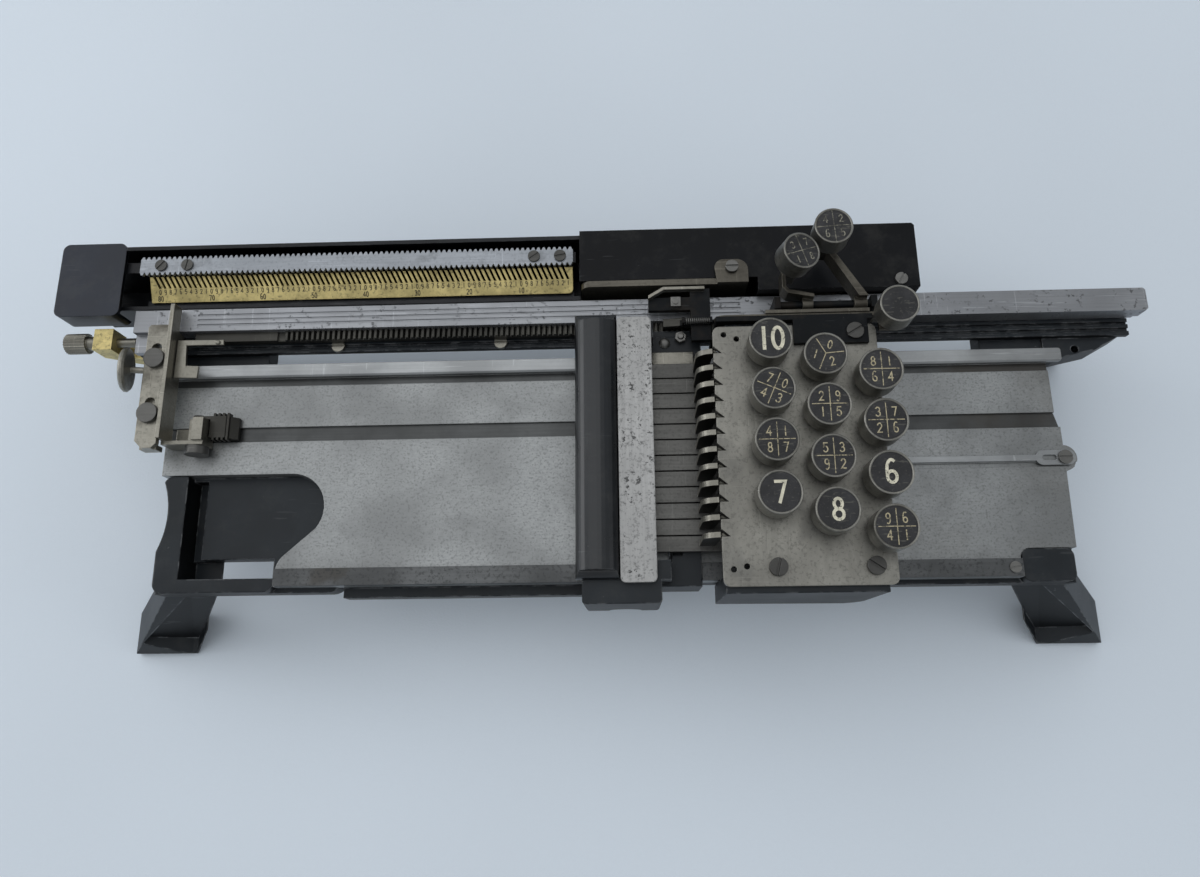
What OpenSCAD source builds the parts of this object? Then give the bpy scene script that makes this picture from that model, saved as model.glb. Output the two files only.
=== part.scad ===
// Hand-operated key punch for eighty-column cards.
// Working frame: X = 0 on the line of punches, positive to the operator's right,
// Y = 0 on the card's rear edge, positive to the rear, Z = 0 on the table.
// placed() moves the whole machine so that the origin is under the middle of its box.

/* [Card] */
// Distance between two punching rows
row_pitch = 6.35; // [6:0.05:7.5]
// Number of punching rows, and so of keys and punches
rows = 12; // [12:1:12]
// Distance between two columns, and so the tooth pitch of the rack and comb
col_pitch = 2.21; // [2:0.01:2.4]
// Number of columns on the card
columns = 80; // [60:1:80]
// Distance from the card's left edge to its first column
card_margin = 6.375; // [6:0.025:7]

/* [Bed] */
// Height of the bed's top face above the table
bed_h = 62; // [58:1:80]
// Thickness of the bed plate
bed_t = 5; // [4:0.5:8]
// Reach of the bed to the left of the punches
bed_left = 209; // [205:1:240]
// Reach of the bed to the right of the punches
bed_right = 155; // [140:1:175]
// Width of the rear card guide rail
guide_w = 5.5; // [4.6:0.1:5.6]
// Height of the card guide rails above the bed
guide_h = 3; // [2:0.25:3.4]
// Width of the long groove that the card gripper's foot runs in
groove_w = 6.2; // [5.5:0.1:7]
// Depth of that groove
groove_d = 1.2; // [1:0.1:2]

/* [Castings] */
// Depth of the castings under the bed plate
cast_d = 9; // [7:1:14]
// Width of a foot across the machine
foot_w = 26.5; // [22:0.5:30]
// Length of a foot from front to rear
foot_l = 18; // [14:1:22]
// How far the feet splay outward from the bed's ends
splay_x = 32; // [20:1:34]
// How far the feet splay forward and rearward from the castings
splay_y = 20; // [12:1:26]
// Length of the finger recess along the bed
recess_l = 68; // [60:1:90]

/* [Rear housing] */
// Depth of the long rear channel from front to rear
channel_w = 26.4; // [26:0.2:32]
// Height of the rear channel
channel_h = 24; // [22:1:26]
// Wall thickness of the channel and its covers
wall = 1.7; // [1.2:0.1:2]
// Length of the black end cap
cap_l = 27.5; // [20:0.5:40]
// Length of the black cover box on the right
cover_l = 138.5; // [136:0.5:160]
// Number of teeth along each edge of the comb
comb_teeth = 83; // [70:1:86]
// Width of the comb plate from front to rear
comb_w = 8.3; // [7.6:0.1:9]

/* [Carriage] */
// Length of the carriage bar
bar_l = 399.6; // [380:0.2:440]
// Width of the carriage bar
bar_w = 9.8; // [9:0.1:11]
// Height of the carriage bar
bar_h = 8; // [7.4:0.2:9]
// Width of the escapement rack in front of the bar
rack_w = 4; // [3:0.1:4.2]
// Width of the pusher arm
arm_w = 8.8; // [8:0.2:9.6]
// Length of the pusher arm from front to rear
arm_l = 52.6; // [48:0.2:58]
// Diameter of the thumb disc
disc_d = 18.4; // [15:0.2:19]
// Teeth on the spring drum's pinion
pinion_teeth = 36; // [34:1:38]

/* [Punch head] */
// Width of the half-round cover
roll_w = 16.7; // [14:0.1:18]
// Width of the flat steel plate beside it
steel_w = 13.6; // [11:0.1:14]
// Clear height under both above the bed
head_clear = 16.6; // [16.2:0.2:20]
// Height of the half-round cover itself
roll_h = 7.8; // [6:0.1:8.3]
// Width of a punch along the card
punch_w = 1.4; // [1:0.05:1.6]
// Width of a punch across the card
punch_l = 3.2; // [2.6:0.05:3.4]
// Stroke of the punches
punch_travel = 1.5; // [1:0.1:1.6]

/* [Keyboard] */
// Distance from the punches to the keyboard plate's left edge
plate_x = 14.6; // [14:0.1:16]
// Length of the keyboard plate along the machine
plate_l = 61.7; // [60:0.1:70]
// Thickness of the keyboard plate
plate_t = 2; // [1.5:0.1:3]
// Height of the keyboard plate's top face above the bed
plate_h = 30.7; // [29:0.1:36]
// Diameter of a key cap
key_d = 15.8; // [13:0.1:16.4]
// Height of a key cap
key_h = 8.7; // [7:0.1:10]
// Diameter of the three key caps behind the keyboard
rear_key_d = 14.4; // [12:0.1:14.8]
// Stroke of a key
key_travel = 3.8; // [3:0.1:4]
// Diameter of a key stem
stem_d = 5; // [4:0.1:5.4]
// Distance between two of the three key columns
key_step = 19.4; // [18:0.1:20]
// Distance from the plate's left edge to the first key column
key_inset = 19.8; // [18:0.1:21]
// Width of an interposer bar
interposer_w = 5.8; // [5:0.1:5.95]
// Thickness of an interposer bar
interposer_t = 3; // [2.5:0.1:3]

/* [Fits] */
// Radial clearance of a shaft or stem in its bore
run_fit = 0.05; // [0.02:0.01:0.1]
// Clearance between pieces that slide past each other
slide_gap = 0.3; // [0.2:0.05:0.4]

/* [Hidden] */
$fn = 64;
tiny = 0.01;

// Card and bed
card_w = row_pitch * (rows + 1);
travel = col_pitch * (columns - 1);
card_left = -(card_margin + travel);
bed_z = bed_h;
bed_low = bed_z - bed_t;
rail_y = [2.6 - guide_w, 2.6];
bed_rear = rail_y[1] + 1;
rail_front_w = 6.85;
bed_front = -(card_w + rail_front_w);
guide_z = bed_z + guide_h;
cast_low = bed_low - cast_d;
groove_y = [-30, -30 + groove_w];
rail_groove_y = [rail_y[0] - 3.1, rail_y[0]];
function row_y(k) = -row_pitch * (k + 1);

// Castings and their finger recess
rim_front = bed_front - 1.9;
recess_rear = bed_front + 45.7;
recess_r = 14;
recess_x = -bed_left + recess_l;
recess_neck_x = -bed_left + 50;
rim_x = -bed_left + 11;
slot_w = 6;
floor_z = bed_low - 1;
end_casting_l = 38;
right_rear_l = 26;
right_block_x = [bed_right - 22.6, bed_right - 2.4];
right_block_rear = bed_front + 11.1;
leg_mid_y = (bed_front + bed_rear) / 2;
leg_top_w = 22;
leg_top_l = 14;
foot_h = 4;
foot_front = bed_front - splay_y - 3;
rear_leg_shift = 9.4;

// Rear track, which the carriage bar slides on
track_y = [9.3, 27];
track_z = bed_z - 2.4;
track_low = bed_z - 16;
track_x = [-bed_left - 16.5, bed_right + 34];
ridge_h = 1.1;
track_lip = 1.6;
track_slope = 5.2;
track_screw_y = track_y[0] + 2.2;
bar_front = 16.6;
bar_rear = bar_front + bar_w;
bar_low = track_z + ridge_h + slide_gap;
bar_top = bar_low + bar_h;
bar_x0 = card_left - 25;
tongue_w = 4;
tongue_y = bar_front + 3;
tongue_d = 4;
rack_low = bar_low + 2;

// Rear channel, comb and scale
channel_y0 = bar_rear + 0.8;
channel_y1 = channel_y0 + channel_w;
channel_z0 = bed_z - 12;
channel_z1 = channel_z0 + channel_h;
cap_gap = 0.1;
cap_y0 = channel_y0 - wall - cap_gap;
cap_y1 = channel_y1 + wall + cap_gap;
cap_x0 = -bed_left - 48;
cap_x1 = cap_x0 + cap_l;
cap_front = cap_y0 - 3;
cap_z0 = channel_z1 - 11;
cover_x0 = -37;
cover_x1 = cover_x0 + cover_l;
comb_x1 = cover_x0 - 2.8;
comb_x0 = comb_x1 - comb_teeth * col_pitch;
comb_y1 = channel_y1 - wall - 2.7;
comb_y0 = comb_y1 - comb_w;
comb_t = 1.5;
comb_z = channel_z1 - 1 - comb_t;
comb_screw_y = (comb_y0 + comb_y1) / 2;
comb_screw_x = [comb_x0 + 9.1, comb_x0 + 20.3, comb_x1 - 16.3, comb_x1 - 5.4];
carrier_w = 4.8;
scale_t = 1.4;
scale_tilt = 22;
scale_w = 11;
scale_y0 = channel_y0 + 5;
skip_y0 = channel_y0 + 2.6;
skip_t = 2.6;
cover_step_x = 36;
cover_front = skip_y0 + skip_t + slide_gap;

// Spring drum and its pinion, in mesh with teeth on the rear of the bar
rack_add = 0.55;
rack_ded = 0.85;
pinion_r = pinion_teeth * col_pitch / (2 * PI);
drum_y = bar_rear - rack_add + pinion_r;
drum_x = 63;
drum_r = pinion_r - 2.4;
drum_post_r = 2.5;
lip_t = 2;

// Punch head
block_x = [-3, 9];
block_front = bed_front - 2.6;
slot_h = 1.1;
bars_z = bed_z + 7;
bars_top = bars_z + interposer_t;
trough_z = bed_z + 2.9;
trough_w = 3.8;
punch_top = bars_z - 0.6;
punch_head_h = 1.8;
roll_x1 = -22;
roll_x0 = roll_x1 - roll_w;
steel_x1 = roll_x1 + steel_w;
roll_front = bed_front - 0.7;
roll_rear = 14.5;
head_z = bed_z + head_clear;
pillar_x = [-24.5, -7.5];
front_pillar_x = [-36.4, -6.7];
head_front = bed_front - 9.6;

// Keyboard
plate_top = bed_z + plate_h;
plate_low = plate_top - plate_t;
plate_y0 = -(card_w + 12.15);
plate_y1 = 3.7;
notch_d = 3.3;
notch_w = 2.8;
notch_front = 0.6;
key_x0 = plate_x + key_inset;
function key_x(k) = key_x0 + key_step * (k % 3);
key_gap = 0.5;
key_low = plate_top + key_gap + key_travel;
key_top = key_low + key_h;
wedge_rise = 1.25;
interposer_travel = key_travel / wedge_rise;
stem_low = bars_top - 2.5;
stem_flat = 4;
ramp_z = stem_low - key_travel - 1.4;
guide_web_z = bars_top + 5;
guide_web_t = 2.4;
base_front = plate_y0 - 2.3;
base_wall = 7.2;
base_rear_y = [0.6, 5.2];
base_x = [plate_x + 1, plate_x + plate_l - 3];
insert_h = 1.2;

// Mechanism behind the keyboard
wall_y = [base_rear_y[1], base_rear_y[1] + 2];
wall_x = [16, 75];
rod_y = 15.6;
rod_z = bed_z + 22;
rod_r = 1.5;
ear_t = 2.4;
ear_x = [40, 77.6];
space_y = 9.2;
space_t = 1.4;
space_z = [bed_z + 18.5, bed_z + 26];
space_pivot = [20, bed_z + 22];
space_key = [82.1, 6];
rear_key_low = plate_top + 4.6;
lever_t = 1.4;
release_key = [45.9, 28.3];
release_tilt = 14;
back_key = [60.6, 38];
deck_z = bed_z + 11;
deck_t = 2.4;
dog_pivot = [12, bed_z + 9];
dog_y = [12.8, 16.2];
coil_steps = 8;
dog_coil_x = [5, 15.8];
dog_coil_y = 12.9;
dog_coil_r = 1.1;
dog_coil_z = deck_z + deck_t + 1.5;
dog_coil_wire = 0.18;
dog_coil_turns = 13;

// Carriage arm, blade and gripper
arm_x1 = card_left - 25.2;
arm_x0 = arm_x1 - arm_w;
arm_t = 2.5;
arm_z = bed_z + 10.5;
arm_y1 = 17.4;
arm_y0 = arm_y1 - arm_l;
arm_hole_x = arm_x1 - 4.3;
arm_head_r = 4.1;
arm_screw_y = [2.4, -20.9];
arm_slot_r = 2.2;
arm_slot_l = 6.8;
blade_t = 1.6;
blade_x = [arm_x1 + 0.2, arm_x1 + 0.2 + blade_t];
blade_low = guide_z + 1.2;
blade_top = arm_z + arm_t + 1.6;
pointer_y = bar_rear - 0.4;
flange_t = 2;
hook_y = -31.4;
grip_block_x = [blade_x[1] + 11.1, blade_x[1] + 15.4];
grip_y = [-30.2, -22];
grip_top = bed_z + 11;
jaw_pin = [blade_x[1] + 11.2, bed_z + 5];
jaw_ear_t = 1.4;
jaw_x1 = card_left + 2.9;
jaw_top = bars_z - 1;
disc_y = -1.9;
disc_x = arm_x0 - 8.3;
disc_t = 2.4;
disc_rim = 0.8;
disc_tilt = 15;
disc_shaft_d = 2.6;
disc_shaft_l = 13.4;
disc_travel = 2;
disc_z = guide_z + disc_d / 2 * cos(disc_tilt) + (disc_t - disc_rim + disc_travel) * sin(disc_tilt) + slide_gap;
disc_boss_x = [arm_x0 + 0.6, arm_x0 + 3.6];
foot_x0 = bar_x0 - 19;
foot_top = bar_low + 5;
foot_rear_x = foot_x0;
foot_front_y = 8.6;

// Adjustable end stop
stop_y = 14;
stop_z = bar_low + 3;
stop_block_x = [track_x[0] - 16, track_x[0] - 8];
stop_tip = foot_x0 - slide_gap;
stop_r = 2;
knob_r = 4;

// Extent of the whole machine, which puts the origin under its middle
all_x0 = cap_x0;
all_x1 = bar_x0 + bar_l;
all_y0 = foot_front;
all_y1 = cap_y1;

echo(bar_x0 = bar_x0, bar_x1 = all_x1, travel = travel, card_left = card_left);
echo(origin = [(all_x0 + all_x1) / 2, (all_y0 + all_y1) / 2, 0]);
echo(stop_tip = stop_tip, disc_z = disc_z, drum = [drum_x, drum_y], pinion_r = pinion_r);
echo(rod = [rod_y, rod_z], key_low = key_low, key_top = key_top, interposer_travel = interposer_travel);

module placed() {
    translate([-(all_x0 + all_x1) / 2, -(all_y0 + all_y1) / 2, 0]) children();
}

// ---- Shapes that repeat ----

// A box between two corners, given as its extent on each axis
module span(x, y, z) {
    translate([x[0], y[0], z[0]]) cube([x[1] - x[0], y[1] - y[0], z[1] - z[0]]);
}

// A flat plate of the outline's shape between two heights
module slab(z) {
    translate([0, 0, z[0]]) linear_extrude(z[1] - z[0]) children();
}

// An outline drawn in X and Z, extruded from y[0] to y[1]
module side_slab(y) {
    translate([0, y[1], 0]) rotate([90, 0, 0]) linear_extrude(y[1] - y[0]) children();
}

// Points of an arc from angle a0 to a1
function arc(c, r, a0, a1, n = 8) =
    [for (i = [0:n]) let (a = a0 + (a1 - a0) * i / n) [c[0] + r * cos(a), c[1] + r * sin(a)]];

// Outline of a rectangle with round corners
function round_rect(x, y, r) = concat(
    arc([x[1] - r, y[1] - r], r, 0, 90), arc([x[0] + r, y[1] - r], r, 90, 180),
    arc([x[0] + r, y[0] + r], r, 180, 270), arc([x[1] - r, y[0] + r], r, 270, 360));

module rod_x(x, y, z, r) {
    translate([x[0], y, z]) rotate([0, 90, 0]) cylinder(h = x[1] - x[0], r = r);
}

module rod_y(x, y, z, r) {
    translate([x, y[1], z]) rotate([90, 0, 0]) cylinder(h = y[1] - y[0], r = r);
}

// Cross-section of the rear track, undercut at its front edge
module track_prism(x) {
    translate([x[0], 0, 0]) rotate([90, 0, 90]) linear_extrude(x[1] - x[0]) polygon([[track_y[0], track_z],
        [track_y[0], track_z - track_lip], [track_y[0] + track_slope, track_low], [track_y[1], track_low],
        [track_y[1], track_z]]);
}

// A slotted screw with its head's seat at the origin and its shank below it
module slotted_screw(head_d, head_h, shank_d, shank_l, turn = 0) {
    difference() {
        union() {
            cylinder(h = head_h, d = head_d);
            translate([0, 0, -shank_l]) cylinder(h = shank_l + tiny, d = shank_d);
        }
        rotate([0, 0, turn]) translate([-head_d, -head_d * 0.07, head_h * 0.5])
            cube([2 * head_d, head_d * 0.14, head_h]);
    }
}

// A leg from a casting's end down to its splayed foot, hollowed on its inner front side
module leg(side) {
    top_x = side < 0 ? [-bed_left + 1, -bed_left + 1 + leg_top_w] : [bed_right - 2 - leg_top_w, bed_right - 2];
    flare = (foot_w - leg_top_w) / 2;
    foot_x = top_x + [side * splay_x - flare, side * splay_x + flare];
    top_y = [bed_front - 1, bed_front - 1 + leg_top_l];
    foot_y = [foot_front, foot_front + foot_l];
    rib = 8;
    outer = side < 0 ? foot_x[0] + rib : foot_x[1] - rib;
    inner = side < 0 ? foot_x[1] : foot_x[0];
    top_edge = side < 0 ? [top_x[0] + rib, top_x[1] + 1] : [top_x[0] - 1, top_x[1] - rib];
    difference() {
        hull() {
            span(top_x, top_y, [cast_low - 0.5, cast_low + 1]);
            span(foot_x, foot_y, [0, foot_h]);
        }
        hull() {
            span(top_edge, [top_y[0] - 9, top_y[0] + 5], [cast_low - 1, cast_low]);
            span([outer - 0.5, outer + 0.5], [foot_y[0] - 9, foot_y[0] + 7], [foot_h + 8, foot_h + 9]);
            span([inner - 1, inner + 1], [foot_y[0] - 9, foot_y[0] + 7], [foot_h - 1, foot_h]);
        }
    }
}

// Outline of the finger recess in the bed: a long slot with a round bulge to the right
recess_outline = concat(
    [[-bed_left - 5, recess_rear]],
    arc([recess_x - recess_r, recess_rear - recess_r], recess_r, 90, -38, 14),
    arc([recess_neck_x + 9, recess_rear - 40], 9, 128, 180, 6),
    [[recess_neck_x, rim_front - 5], [-bed_left - 5, rim_front - 5]]);

// ---- Castings ----

module left_end_casting() {
    slot_x = [rim_x, rim_x + slot_w];
    front_slot_y = [rim_front + 5.4, rim_front + 13.8];
    color("#2b3036") difference() {
        union() {
            slab([cast_low, bed_low]) polygon(concat(
                [[-bed_left, track_y[0] + track_slope], [-bed_left, rim_front]],
                arc([recess_x + 2, rim_front + 6], 6, 270, 360, 6),
                [[recess_x + 8, recess_rear + 6], [-bed_left + end_casting_l, recess_rear + 6],
                [-bed_left + end_casting_l, track_y[0] + track_slope]]));
            intersection() {
                slab([bed_low - tiny, bed_z - 0.4]) polygon(round_rect(
                    [-bed_left + 1, recess_neck_x - slide_gap], [rim_front, recess_rear - slide_gap], 4));
                union() {
                    span([-bed_left, rim_x], [rim_front - 1, 0], [0, bed_z]);
                    span([-bed_left, 0], [rim_front - 1, rim_front + 5.4], [0, bed_z]);
                }
            }
            leg(-1);
            translate([0, 2 * leg_mid_y + rear_leg_shift, 0]) mirror([0, 1, 0]) leg(-1);
        }
        span(slot_x, [front_slot_y[0], recess_rear - 1.5], [cast_low + 1.6, bed_z]);
        span([rim_x, recess_neck_x - 3], front_slot_y, [cast_low - 1, bed_z]);
        intersection() {
            slab([floor_z, bed_z]) polygon(recess_outline);
            span([rim_x, bed_left], [front_slot_y[0], recess_rear], [0, bed_z]);
        }
        translate([-bed_left - 33, -60, cast_low - 1]) cylinder(h = 30, r = 37);
        track_prism([-bed_left - 50, track_x[1]]);
    }
}

module right_end_casting() {
    color("#22262b") difference() {
        union() {
            span([bed_right - end_casting_l, bed_right - 0.5], [rim_front, rail_y[0] - 8], [cast_low, bed_low]);
            span([bed_right - right_rear_l, bed_right - 0.5], [rail_y[0] - 9, track_y[0] + track_slope], [cast_low, bed_low]);
            slab([bed_low - tiny, bed_z + 0.4]) polygon(round_rect(
                right_block_x + [slide_gap, 0], [rim_front, right_block_rear - slide_gap], 3));
            leg(1);
            translate([0, 2 * leg_mid_y + rear_leg_shift, 0]) mirror([0, 1, 0]) leg(1);
        }
        translate([bed_right + 31, leg_mid_y, cast_low - 1]) cylinder(h = 30, r = 31);
        track_prism(track_x);
        slab(gusset_z) gusset();
    }
}

module front_beam() {
    x = [recess_x + 8, bed_right - end_casting_l];
    color("#2b3036") difference() {
        union() {
            span(x, [bed_front, bed_front + 7], [cast_low - 1, bed_low]);
            span([x[0], front_pillar_x[0]], [bed_front - 4, bed_front], [cast_low - 1, bed_low - 2]);
            span([base_x[1], x[1]], [bed_front - 1.9, bed_front], [cast_low, bed_low]);
        }
        span([front_pillar_x[0] + 1 - slide_gap, block_x[1] + slide_gap], [bed_front - 1, bed_front + 8],
            [cast_low - 2, bed_z]);
    }
}

gusset_z = [track_low, track_z - track_lip];
module gusset() {
    polygon([[bed_right - 0.5, track_y[0] + 6], [bed_right - 0.5, 1.2], [bed_right + 5.4, 0.8], [bed_right + 21, 4.2],
        [track_x[1] - 1.6, track_y[0] + 1.2], [track_x[1], track_y[0] + 3], [track_x[1], track_y[0] + 6]]);
}

module rear_track() {
    color("#1f2328") difference() {
        union() {
            track_prism(track_x);
            for (y = [track_y[0], track_y[0] + 3, track_y[0] + 5.7])
                span(track_x, [y, y + 1.6], [track_z - tiny, track_z + ridge_h]);
            slab(gusset_z) gusset();
        }
        span(track_x + [-1, 1], [tongue_y - 0.1, tongue_y + tongue_w + 0.1], [track_z - tongue_d - 0.3, bed_z]);
        translate([bed_right + 12.4, 4.4, track_low - 1]) cylinder(h = 16, r = 1.6);
        for (x = track_screw_x) translate([x, track_screw_y, track_low - 1]) cylinder(h = 22, r = 1.5);
        span([wall_x[0] - 26, wall_x[1] + 8], [track_y[0] - 1, track_y[0] + 0.3], [bed_low, bed_z]);
    }
}
track_screw_x = [-140, -71];

// ---- Bed and what lies on it ----

module bed_plate() {
    color("#8d8f8e") difference() {
        slab([bed_low, bed_z]) difference() {
            union() {
                polygon([[-bed_left, bed_rear], [bed_right - 1.8, bed_rear], [bed_right - 1.8, groove_y[1]],
                    [bed_right - 0.2, groove_y[0]], [bed_right - 0.2, strip_y], [bed_right - 1.1, bed_front],
                    [-bed_left, bed_front]]);
                translate([bed_right - 0.6, strip_y]) circle(r = 5.2);
            }
            polygon(recess_outline);
            polygon(round_rect([right_block_x[0], bed_right + 9], [bed_front - 9, right_block_rear], 4));
            translate([block_x[0] - slide_gap, -card_w - 1]) square([block_x[1] - block_x[0] + 2 * slide_gap, card_w + 2]);
            translate([bed_right - 0.6, strip_y]) circle(r = 1.5);
        }
        span([-bed_left - 1, bed_right + 9], groove_y, [bed_z - groove_d, bed_z + 1]);
        span([-bed_left - 1, bed_right + 9], rail_groove_y, [bed_z - 0.9, bed_z + 1]);
        span([block_x[1] + 3, bed_right + 9], [strip_y - 3.4, strip_y - 1.6], [bed_z - 0.9, bed_z + 1]);
        span([block_x[0] - 6 - slide_gap, block_x[1] + slide_gap], [bed_front - 1, -card_w], [0, bed_z + 1]);
        span([pillar_x[0] - slide_gap, block_x[1] + 3 + slide_gap], [0.5 - slide_gap, bed_rear + 1], [0, bed_z + 1]);
    }
}
strip_y = -42.7;

module rear_card_guide() {
    color("#9a9c9b") for (x = [[-bed_left + 2, pillar_x[0] - slide_gap], [block_x[1] + 3 + slide_gap, bed_right + 3]])
        difference() {
            slab([bed_z, guide_z]) polygon(round_rect(x, rail_y, 1));
            translate([x[0] - 1, rail_y[0], guide_z - 0.7]) rotate([45, 0, 0]) cube([x[1] - x[0] + 2, 1.2, 1.2]);
            span([x[0] - 1, x[1] + 1], [rail_y[0] - 1, 0.1], [bed_z - 1, bed_z + slot_h]);
        }
}

module front_card_guide() {
    color("#8a8c8a") difference() {
        union() {
            span([recess_neck_x + 0.4 + slide_gap, front_pillar_x[0] - slide_gap], [bed_front, -card_w], [bed_z, guide_z]);
            span([block_x[1] + slide_gap, right_block_x[0] - 0.6], [bed_front, -card_w], [bed_z, guide_z]);
        }
        translate([guide_screw_x, -card_w - rail_front_w / 2, bed_z - 1]) cylinder(h = 9, r = 1.5);
    }
}
guide_screw_x = bed_right - 26.4;

module card_strip() {
    color("#9a9a96") slab([bed_z, bed_z + 1]) difference() {
        union() {
            polygon([[block_x[1] + 3, strip_y - 1.2], [bed_right - 10, strip_y - 1.2],
                [bed_right - 10, strip_y + 1.2], [block_x[1] + 3, strip_y + 1.2]]);
            polygon(round_rect([bed_right - 12, bed_right + 3.6], [strip_y - 3, strip_y + 3], 2.9));
        }
        polygon(round_rect([bed_right - 9.4, bed_right - 3.8], [strip_y - 1.1, strip_y + 1.1], 1));
        translate([bed_right - 0.6, strip_y]) circle(r = 1.5);
    }
}

// ---- Rear housing ----

module rear_channel() {
    x = [cap_x0 + 12, cover_x1 - wall - cap_gap];
    color("#17191d") difference() {
        union() {
            span(x, [channel_y0, channel_y1], [channel_z0, channel_z0 + lip_t]);
            span([x[0], cover_x0], [channel_y0, channel_y0 + wall], [channel_z0, channel_z1 - 6]);
            span([x[0], cap_x1 + 1], [channel_y1 - wall, channel_y1], [channel_z0, channel_z1 - wall]);
            span([cap_x1, cover_x0], [channel_y1 - wall, channel_y1], [channel_z0, channel_z1]);
            span([x[0], cover_x0 - wall], [comb_screw_y - carrier_w / 2, comb_screw_y + carrier_w / 2],
                [channel_z0, comb_z]);
            span([comb_x0, comb_x1], [channel_y0, scale_y0 + 1], [channel_z0, channel_z1 - 10.4]);
            span([cap_x1, cover_x1 - 20], [track_y[1], channel_y0 + 1], [channel_z0, channel_z0 + 4]);
            translate([drum_x, drum_y, channel_z0]) cylinder(h = 20.6, r = drum_post_r);
            translate([drum_x, drum_y, channel_z0]) cylinder(h = lip_t + 0.4, r = drum_post_r + 2);
        }
        for (x = comb_screw_x) translate([x, comb_screw_y, comb_z - 6]) cylinder(h = 9, r = 1.25);
    }
}

module channel_end_cap() {
    color("#262c36") difference() {
        slab([cap_z0, channel_z1]) polygon(round_rect([cap_x0, cap_x1], [cap_front, cap_y1], 3));
        span([cap_x0 + wall, cap_x1 + 1], [cap_front + wall, cap_y1 - wall], [cap_z0 - 1, channel_z1 - wall]);
    }
}

module channel_cover() {
    outer = [[cover_x0, cap_y1], [cover_x0, cover_front], [cover_step_x, cover_front],
        [cover_step_x, cap_y0 + 1.6], [cover_x1, cap_y0 + 1.6], [cover_x1, cap_y1 - 1], [cover_x1 - 1, cap_y1]];
    color("#1c2026") difference() {
        slab([channel_z0 - 1, channel_z1 + 0.5]) polygon(outer);
        span([cover_x0 + wall, cover_x1 - wall], [cover_front + wall, channel_y1 + cap_gap], [0, channel_z1 + 0.5 - wall]);
        span([cover_step_x + wall, cover_x1 - wall], [cap_y0 + 1.6 + wall, cap_y1 - 9], [0, channel_z1 + 0.5 - wall]);
        span([cover_x0 - 1, cover_x1 - wall], [0, channel_y1 + cap_gap], [0, channel_z0 + 4.2]);
        span([drum_x - 14, drum_x + 14], [0, drum_y], [0, bar_top + 1]);
        span([cover_x0 - 1, cover_x0 + wall + 1], [comb_screw_y - carrier_w, channel_y1 + cap_gap],
            [channel_z0 - 2, comb_z]);
        translate([cover_x1 - 7.6, cover_screw_y, channel_z1 - 5]) cylinder(h = 9, r = 1.5);
        translate([skip_pivot[0], skip_pivot[1], channel_z1 - 5]) cylinder(h = 9, r = 1.5);
    }
}
cover_screw_y = cap_y0 + 4.8;
skip_pivot = [25.4, skip_y0 + 6.6];

module stop_rack() {
    tooth = 1.2;
    upper = [for (i = [0:comb_teeth - 1], p = [[0.15, 0], [0.35, 1], [0.7, 1], [0.95, 0]])
        [comb_x1 - (i + p[0]) * col_pitch, comb_y1 - tooth + tooth * p[1]]];
    lower = [for (i = [comb_teeth - 1:-1:0], p = [[0.95, 0], [0.7, 1], [0.35, 1], [0.15, 0]])
        [comb_x1 - (i + p[0]) * col_pitch, comb_y0 + tooth - tooth * p[1]]];
    color("#a9abac") slab([comb_z, comb_z + comb_t]) difference() {
        polygon(concat([[comb_x1, comb_y1 - tooth]], upper, [[comb_x0, comb_y1 - tooth], [comb_x0, comb_y0 + tooth]],
            lower, [[comb_x1, comb_y0 + tooth]]));
        for (x = comb_screw_x) translate([x, comb_screw_y]) circle(r = 1.25);
    }
}

// Brass column scale: a plate that slopes down to the front, with slanted slits along its upper edge
module column_scale() {
    slit = 5;
    lean = 2.6;
    x1 = comb_x1 - 0.4;
    x0 = comb_x0 + 2.4;
    n = floor((x1 - x0) / col_pitch) - 1;
    color("#b89a55") translate([0, scale_y0, channel_z1 - 10.4])
        rotate([scale_tilt, 0, 0]) slab([0, scale_t]) difference() {
            polygon(concat([[x0, 0]], arc([x1 - 2, 2], 2, 270, 360, 6), [[x1, scale_w], [x0, scale_w]]));
            for (i = [0:n - 1]) let (x = x0 + 1 + i * col_pitch)
                polygon([[x, scale_w + 1], [x + lean, scale_w - slit], [x + lean + 1, scale_w - slit],
                    [x + 1, scale_w + 1]]);
        }
}

// ---- Punch head ----

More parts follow.
